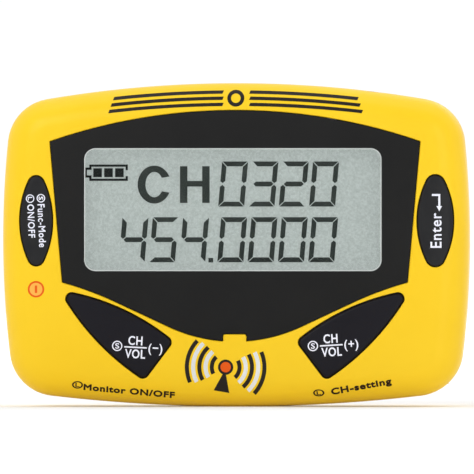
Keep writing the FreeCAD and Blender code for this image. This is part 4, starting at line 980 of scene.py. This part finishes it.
def digit_strokes():
    """The seven strokes of a digit, by letter, with mitred ends and hairline gaps between them."""
    wide, high = DIGIT_SIZE
    middle = high / 2
    half = STROKE / 2
    across = np.array([(0, high), (STROKE, high - STROKE), (wide - STROKE, high - STROKE), (wide, high)])
    upright = np.array([(0, high), (0, middle + 0.44), (half, middle + 0.06), (STROKE, middle + 0.5),
                        (STROKE, high - STROKE)])
    bar = np.array([(half, middle), (STROKE, middle + half), (wide - STROKE, middle + half),
                    (wide - half, middle), (wide - STROKE, middle - half), (STROKE, middle - half)])
    strokes = {
        "a": across,
        "b": upright * (-1, 1) + (wide, 0),
        "c": upright * (-1, -1) + (wide, high),
        "d": across * (1, -1) + (0, high),
        "e": upright * (1, -1) + (0, high),
        "f": upright,
        "g": bar,
    }
    return {letter: grow(anticlockwise(loop), -STROKE_TRIM) for letter, loop in strokes.items()}


def display_digits(text, left, low):
    """The outlines of a row of slanted digits, with a square point wherever the text has one."""
    strokes = digit_strokes()
    found = []
    start = left
    for letter in text:
        if letter == ".":
            middle = (start + POINT_MIDDLE[0], low + POINT_MIDDLE[1])
            found.append(rounded_loop(middle, POINT_SIZE, BLOCK_ROUND, 1))
            start += POINT_PITCH
            continue
        for stroke in SHOWN[letter]:
            loop = strokes[stroke]
            found.append(loop + (start, low) + np.column_stack((loop[:, 1] * SLANT, np.zeros(len(loop)))))
        start += DIGIT_PITCH
    return found


def round_c(middle):
    """A letter C as an oval ring with its right side open."""
    rims = []
    for wide, high, opening in ((2.95, 3.36, 25), (1.56, 2.23, 32)):
        turns = np.radians(np.linspace(opening, 360 - opening, 48))
        rims.append(point(*middle) + circle(turns) * (wide, high))
    return band(*rims)


def battery_mark(left, right, low, high):
    """The outline of a cell with its terminal on the left, open at the right, and three full blocks."""
    line = 0.4
    neck = left + 0.82
    foot = low + 0.58
    head = high - 0.54
    low_end = low + 0.85
    high_end = high - 1.0
    outline = [
        (right, low_end), (right, low), (neck, low), (neck, foot), (left, foot), (left, head), (neck, head),
        (neck, high), (right, high), (right, high_end), (right - line, high_end),
        (right - line, high - line), (neck + line, high - line), (neck + line, head - line),
        (left + line, head - line), (left + line, foot + line), (neck + line, foot + line),
        (neck + line, low + line), (right - line, low + line), (right - line, low_end),
    ]
    blocks = [rounded_loop((left + 2.29 + BLOCK_PITCH * number, (low + high) / 2), BLOCK_SIZE,
                           BLOCK_ROUND, 1) for number in range(3)]
    return [anticlockwise(outline), *blocks]


def display_segments():
    """A channel number, a frequency and the cell's charge."""
    loops = display_digits("0320", -3.13, 6.7) + display_digits("454.0000", -20.75, -3.15)
    loops += [
        round_c((-14.35, 10.65)),
        bar_loop((-9.15, 7.4), (-9.15, 13.9), 1.32),
        bar_loop((-5.22, 7.4), (-5.22, 13.9), 1.32),
        bar_loop((-8.49, 10.8), (-5.88, 10.8), 1.0),
    ]
    mark = battery_mark(-26.68, -19.03, 11.3, 14.2)
    for name, material, drawn in (("display_segments", SEGMENT, loops), ("display_icon", ICON, mark)):
        shape = Shape()
        for loop in drawn:
            slab(shape, loop, [], level(GLASS_MIDDLE - SEGMENT_HALF_DEPTH),
                 level(GLASS_MIDDLE + SEGMENT_HALF_DEPTH), spacing=3.0)
        shape.finish(name, material, "case")


# ---- buttons and their labels

def buttons():
    """The four caps, with a ring of points inside each rounded rim to keep it even."""
    for name, loop in BUTTONS.items():
        oval = name in ("mode_button", "enter_button")
        rim = OVAL_RIM if oval else SHIELD_RIM
        rubber = SIDE_BUTTON if oval else BUTTON
        shape = Shape()
        slab(shape, grow(loop, -EDGE_INSET), [], front, level(BUTTON_BACK), rim, 1.3,
             [(grow(loop, -rim - 0.5), 0.3)])
        shape.finish(f"{name}_cap", rubber, name, [name])


def ring_mark(middle, radius, squash=1.0, hollow=0.78):
    """A small ring round a letter, which marks a short or a long press."""
    return disc_loop(middle, radius, squash), [disc_loop(middle, radius * hollow, squash)]


def ring_letter(letter, middle, radius, angle=0.0, squash=1.0):
    """The letter in a ring mark, as a line of lettering."""
    width = radius * 0.72
    cap = radius * 0.98 * squash
    along = point(math.cos(angle), math.sin(angle))
    start = point(*middle) - along * width / 2 - point(-along[1], along[0]) * cap / 2
    return letter, start, angle, width, cap, 0.025


def lower_labels(body, sign, tilt, start, ring):
    """The labels of a lower button: a ring mark, two words with a bar between them, and a sign."""
    along = point(math.cos(tilt), math.sin(tilt))
    upward = point(-along[1], along[0])
    first = point(*start)

    def spot(right, up):
        return first + along * right + upward * up

    lettered(f"{body}_words", LABEL, body, [
        ("CH", spot(0.72, 0.44), tilt, 2.42, 1.48, 0.045),
        ("VOL", spot(0.26, -1.9), tilt, 3.47, 1.48, 0.045),
        (sign, spot(4.32, -0.7), tilt, 2.42, 1.45, 0.035),
        ring_letter("S", ring, 0.92),
    ])
    inked(f"{body}_marks", LABEL, body,
          [(bar_loop(spot(0, 0), spot(4.0, 0), 0.25), []), ring_mark(ring, 0.92)])


def oval_labels():
    """Two lines that run down the left oval, and a word and an arrow that run up the right one."""
    down = math.radians(-87.6)
    first = (-34.28, 8.23)
    second = (-36.2, 8.16)
    radius = 0.75
    lettered("mode_button_words", LABEL, "mode_button", [
        ("Func-Mode", (-34.87, 7.14), down, 7.55, 1.2, 0.03),
        ("ON/OFF", (-36.68, 7.1), down, 5.85, 1.12, 0.035),
        ring_letter("S", first, radius, down),
        ring_letter("L", second, radius, down),
    ])
    inked("mode_button_marks", LABEL, "mode_button", [ring_mark(first, radius), ring_mark(second, radius)])
    lettered("enter_button_words", LABEL, "enter_button", [
        ("Enter", (36.46, -0.5), math.pi / 2, 6.07, 1.88, 0.04),
    ])
    arrow = [(34.8, 8.97), (34.8, 8.62), (35.93, 8.62), (35.93, 6.85), (35.6, 6.85), (36.1, 5.93),
             (36.6, 6.85), (36.28, 6.85), (36.28, 8.97)]
    inked("enter_button_marks", LABEL, "enter_button", [(arrow, [])])


# ---- prints on the case

def case_captions():
    """What a long press of each lower button does."""
    left_ring = (-27.85, -24.75)
    right_ring = (14.8, -26.15)
    lettered("case_captions", BROWN_INK, "case", [
        ("Monitor ON/OFF", (-26.75, -25.6), math.atan2(-1.45, 16.1), 16.05, 0.98, 0.075),
        ("CH-setting", (17.15, -26.45), math.atan2(1.95, 10.6), 10.65, 1.02, 0.08),
        ring_letter("L", left_ring, 0.98, math.radians(-5), 0.68),
        ring_letter("L", right_ring, 1.0, math.radians(5), 0.62),
    ])
    marks = [ring_mark(left_ring, 0.98, 0.68, 0.7), ring_mark(right_ring, 1.0, 0.62, 0.7)]
    inked("case_caption_marks", BROWN_INK, "case", marks, 0.4)


def power_mark():
    """A ring and an upright bar round a pale field."""
    middle = (-35.15, -7.85)
    reach = 0.66
    rim = disc_loop(middle, 1.14)
    bar = bar_loop((middle[0], middle[1] - reach), (middle[0], middle[1] + reach), 0.42)
    inked("power_mark_field", PALE_INK, "case", [(rim, [bar])], 0.4)
    inked("power_mark", RED_INK, "case", [(disc_loop(middle, 1.46), [rim]), (bar, [])], 0.4)


def arch_loop(left, right, low):
    """A stripe that follows the case's arched top, with slanted ends."""
    height = 0.6
    arch = HALF_HEIGHT - TOP_RADIUS
    loops = []
    for up, ends in ((low, (right, left)), (low + height, (left, right))):
        radius = up - arch
        slant = (up - low) * 0.4
        turns = np.linspace(*[math.asin((end + slant) / radius) for end in ends], 40)
        loops.append(np.column_stack((radius * np.sin(turns), arch + radius * np.cos(turns))))
    return anticlockwise(np.vstack(loops))


def top_stripes():
    """Three plain stripes across the top, parted by a ring."""
    middle = (0.17, 25.9)
    regions = [(disc_loop(middle, 1.5), [disc_loop(middle, 0.85)])]
    for low, reach in ((26.7, 21.6), (25.6, 22.0), (24.5, 22.4)):
        regions += [(arch_loop(-reach, -2.2, low), []), (arch_loop(2.5, reach, low), [])]
    inked("top_stripes", DARK_INK, "case", regions, 0.6)


def arc_band(middle, radius, width, first, last):
    """Part of a ring, between two directions in degrees."""
    unit = circle(np.radians(np.linspace(first, last, 24)))
    return band(point(*middle) + unit * (radius + width / 2), point(*middle) + unit * (radius - width / 2))


def wave_mark():
    """A plain radio-wave pictogram: a dot on a mast, with waves to both sides."""
    middle = (-1.6, -21.6)
    tilt = math.radians(-10)
    foot = middle[1] - 4.4
    head = middle[1] - 1.3
    dot = disc_loop(middle, 0.92)
    black = [
        (disc_loop(middle, 1.35), [dot]),
        ([(middle[0] - 0.3, head), (middle[0] + 0.3, head), (middle[0] + 1.4, foot),
          (middle[0] - 1.4, foot)], [])
    ]
    white = []
    waves = ((2.45, 38, black), (3.55, 40, white), (4.65, 39, black), (5.75, 37, white), (6.85, 33, black))
    for side in (0, 180):
        for radius, half, colour in waves:
            colour.append((arc_band(middle, radius, 0.72, side - half, side + half), []))
    for name, material, regions in (("black", DARK_INK, black), ("white", WHITE_INK, white),
                                    ("orange", RED_INK, [(dot, [])])):
        moved = [(turned(outer, middle, tilt), [turned(hole, middle, tilt) for hole in holes])
                 for outer, holes in regions]
        inked(f"wave_mark_{name}", material, "case", moved, 0.6)


# ---- springs

def wire(name, material, body, path, radius, replaced=()):
    """A round wire along a path of points, in millimetres."""
    path = np.array(path, float)
    ahead = np.gradient(path, axis=0)
    ahead /= np.linalg.norm(ahead, axis=1)[:, None]
    shape = Shape()
    normal = np.cross(ahead[0], (0.37, 0.61, 0.7))
    rows = []
    turns = around(12)
    for spot, way in zip(path, ahead):
        normal = normal - way * (normal @ way)
        normal /= np.linalg.norm(normal)
        other = np.cross(way, normal)
        rows.append(shape.ring([tuple(spot + radius * (math.cos(turn) * normal + math.sin(turn) * other))
                                for turn in turns]))
    shape.tube(rows)
    shape.finish(name, material, body, replaced, sharp=50)


def coil(first, last, start_radius, end_radius, turns, middle, phase=0.0):
    """Points of a helix about a line along X."""
    count = math.ceil(turns * 24)
    shares = np.linspace(0, 1, count + 1)
    angles = phase + shares * turns * 2 * math.pi
    radius = start_radius + (end_radius - start_radius) * shares
    return np.column_stack((first + (last - first) * shares, middle[0] + radius * np.cos(angles),
                            middle[1] + radius * np.sin(angles)))


def springs():
    """The clip's torsion spring, whose last leg rides on the clip, and the cell's contact spring."""
    pivot = (10.8, 16.0)
    body = coil(-2.75, 2.75, 1.4, 1.4, 7.75, pivot, phase=math.pi)
    leg = [(-2.75, 9.4, up) for up in np.linspace(10.0, 15.4, 8)]
    wire("clip_spring_coil", STEEL, "case", [*leg, *body], 0.3, ["clip_spring"])
    tail = [(2.9, 12.25, up) for up in np.linspace(16.4, 21.3, 8)]
    wire("clip_spring_leg", STEEL, "belt_clip", tail, 0.3)
    cell = coil(-27.0, -20.8, 3.8, 2.3, 6.0, (1.0, -17.5))
    wire("cell_spring", NICKEL, "case", cell, 0.4, ["negative_spring"])


# ---- the CAD model's own pieces

# material, softened edge, nodes
CARRIED = (
    (YELLOW, 0.12, "rear_case"),
    (YELLOW, 0.1, "battery_door"),
    (CLIP, 0.25, "belt_clip"),
    (JACK, 0.08, "earphone_jack"),
    (STEEL, 0.06, "case_screws clip_hinge_pin"),
    (STEEL, 0.08, "receiver_shield crystal_filter"),
    (STEEL, 0.05, "switch_bases board_screws"),
    (FOAM, 0, "window_gasket"),
    (GUIDE, 0, "light_guide"),
    (LED, 0, "backlight_leds"),
    (MASK, 0, "main_board"),
    (WHITE_PLASTIC, 0.05, "lcd_frame mode_switch_plunger enter_switch_plunger"),
    (WHITE_PLASTIC, 0.05, "down_switch_plunger up_switch_plunger"),
    (EPOXY, 0.05, "microcontroller audio_amplifier capacitors"),
    (EPOXY, 0.03, "chip_components"),
    (COPPER, 0.05, "loop_antenna"),
    (CELL_WRAP, 0.1, "battery_cell"),
    (NICKEL, 0.03, "positive_contact"),
)


def soften(item, width):
    """Join flat faces and round the edges between them."""
    flat = item.modifiers.new("flat", "DECIMATE")
    flat.decimate_type = "DISSOLVE"
    flat.angle_limit = math.radians(0.6)
    edge = item.modifiers.new("edge", "BEVEL")
    edge.width = width * MM
    edge.segments = 2
    edge.limit_method = "ANGLE"
    edge.angle_limit = math.radians(SMOOTH_ANGLE)


def carried_pieces():
    """Materials and softened edges for the CAD model's own pieces."""
    for material, width, names in CARRIED:
        for name in names.split():
            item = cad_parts[name]
            item.data.materials.clear()
            item.data.materials.append(material)
            item.data.polygons.foreach_set("use_smooth", [True] * len(item.data.polygons))
            weld = item.modifiers.new("weld", "WELD")
            weld.merge_threshold = 1e-6
            if width:
                soften(item, width)
            smooth = item.modifiers.new("normals", "WEIGHTED_NORMAL")
            smooth.keep_sharp = True


# ---- floor, light and camera

FLOOR_RADIUS = 3.0
OBJECT_MIDDLE = (0, 0, 0.028)


def plain_floor():
    """A pale disc that glows with painted light, more strongly away from the object, to meet the white
    behind it.
    """
    material, tree, shader = new_material("pale_floor")
    tree.links.new(ramp(tree, noise(tree, 2.0), ((0.3, (0.86, 0.86, 0.86)), (0.7, (0.88, 0.88, 0.88)))),
                   shader.inputs["Base Color"])
    adjust(shader, Roughness=0.9, Specular_IOR_Level=0.1, Emission_Color=(1, 1, 1, 1))
    reach = add(tree, "ShaderNodeVectorMath")
    reach.operation = "LENGTH"
    tree.links.new(place_of(tree), reach.inputs[0])
    # painted light: the floor's glow is weak near the object and strong far away
    painted_floor_glow = add(tree, "ShaderNodeMapRange", From_Min=0.1, From_Max=1.2, To_Min=0.05, To_Max=0.42)
    tree.links.new(reach.outputs["Value"], painted_floor_glow.inputs["Value"])
    tree.links.new(painted_floor_glow.outputs["Result"], shader.inputs["Emission Strength"])
    rim = [(across, along, 0) for across, along in FLOOR_RADIUS * circle(around(64))]
    mesh = bpy.data.meshes.new("floor")
    mesh.from_pydata(rim, [], [tuple(range(len(rim)))])
    mesh.materials.append(material)
    floor = linked("floor", mesh)


def softbox(name, place, power, size):
    """A large soft light, in metres and watts, that faces the object."""
    light = bpy.data.lights.new(name, "AREA")
    light.shape = "RECTANGLE"
    light.size, light.size_y = size
    light.energy = power
    item = linked(name, light)
    item.location = place
    item.rotation_euler = (Vector(OBJECT_MIDDLE) - Vector(place)).to_track_quat("-Z", "Y").to_euler()


def studio():
    """White behind the object, dimmer in front, so that dark glossy faces stay dark."""
    world = bpy.data.worlds.new("studio")
    bpy.context.scene.world = world
    world.use_nodes = True
    tree = world.node_tree
    back = adjust(tree.nodes["Background"], Color=(1, 1, 1, 1))
    place = tree.nodes.new("ShaderNodeTexCoord")
    split = tree.nodes.new("ShaderNodeSeparateXYZ")
    tree.links.new(place.outputs["Generated"], split.inputs["Vector"])
    shade = add(tree, "ShaderNodeMapRange", From_Min=-0.6, From_Max=0.0, To_Min=0.31, To_Max=1.02)
    shade.interpolation_type = "SMOOTHSTEP"
    tree.links.new(split.outputs["Y"], shade.inputs["Value"])
    tree.links.new(shade.outputs["Result"], back.inputs["Strength"])
    softbox("key", (-0.52, -1.05, 0.72), 5.8, (0.6, 0.6))
    softbox("fill", (0.75, -1.10, 0.35), 3.6, (0.7, 0.7))
    softbox("top", (0.0, 0.1, 1.1), 2.2, (1.2, 1.0))
    softbox("rim", (0.5, 0.9, 0.7), 1.4, (0.8, 0.6))


def camera():
    """A long lens, almost square on to the display and level with it."""
    distance = 2.5
    seen_width = 84.03 * MM
    across = 0.035 * MM
    above = 1.37 * MM
    yaw = math.radians(2)
    data = bpy.data.cameras.new("camera")
    data.sensor_width = 36
    data.lens = data.sensor_width * distance / seen_width
    item = linked("camera", data)
    middle = Vector((across, SEAM_DEPTH * MM, HALF_HEIGHT * MM + above))
    item.location = middle + Vector((math.sin(yaw), -math.cos(yaw), 0)) * distance
    item.rotation_euler = (math.pi / 2, 0, yaw)
    data.clip_start = 0.1
    data.clip_end = 60
    bpy.context.scene.camera = item


# ---- everything

front_case()
face_plate()
window_lens()
display_layers()
contact_strips()
display_segments()
buttons()
lower_labels("down_button", "(−)", math.radians(-3), (-19.53, -18.0), (-20.77, -17.85))
lower_labels("up_button", "(+)", math.radians(3.4), (15.05, -17.85), (13.81, -17.86))
oval_labels()
case_captions()
power_mark()
top_stripes()
wave_mark()
springs()
carried_pieces()
plain_floor()
studio()
camera()

bpy.context.scene.view_settings.view_transform = "Standard"
bpy.context.scene.cycles.transparent_max_bounces = 16
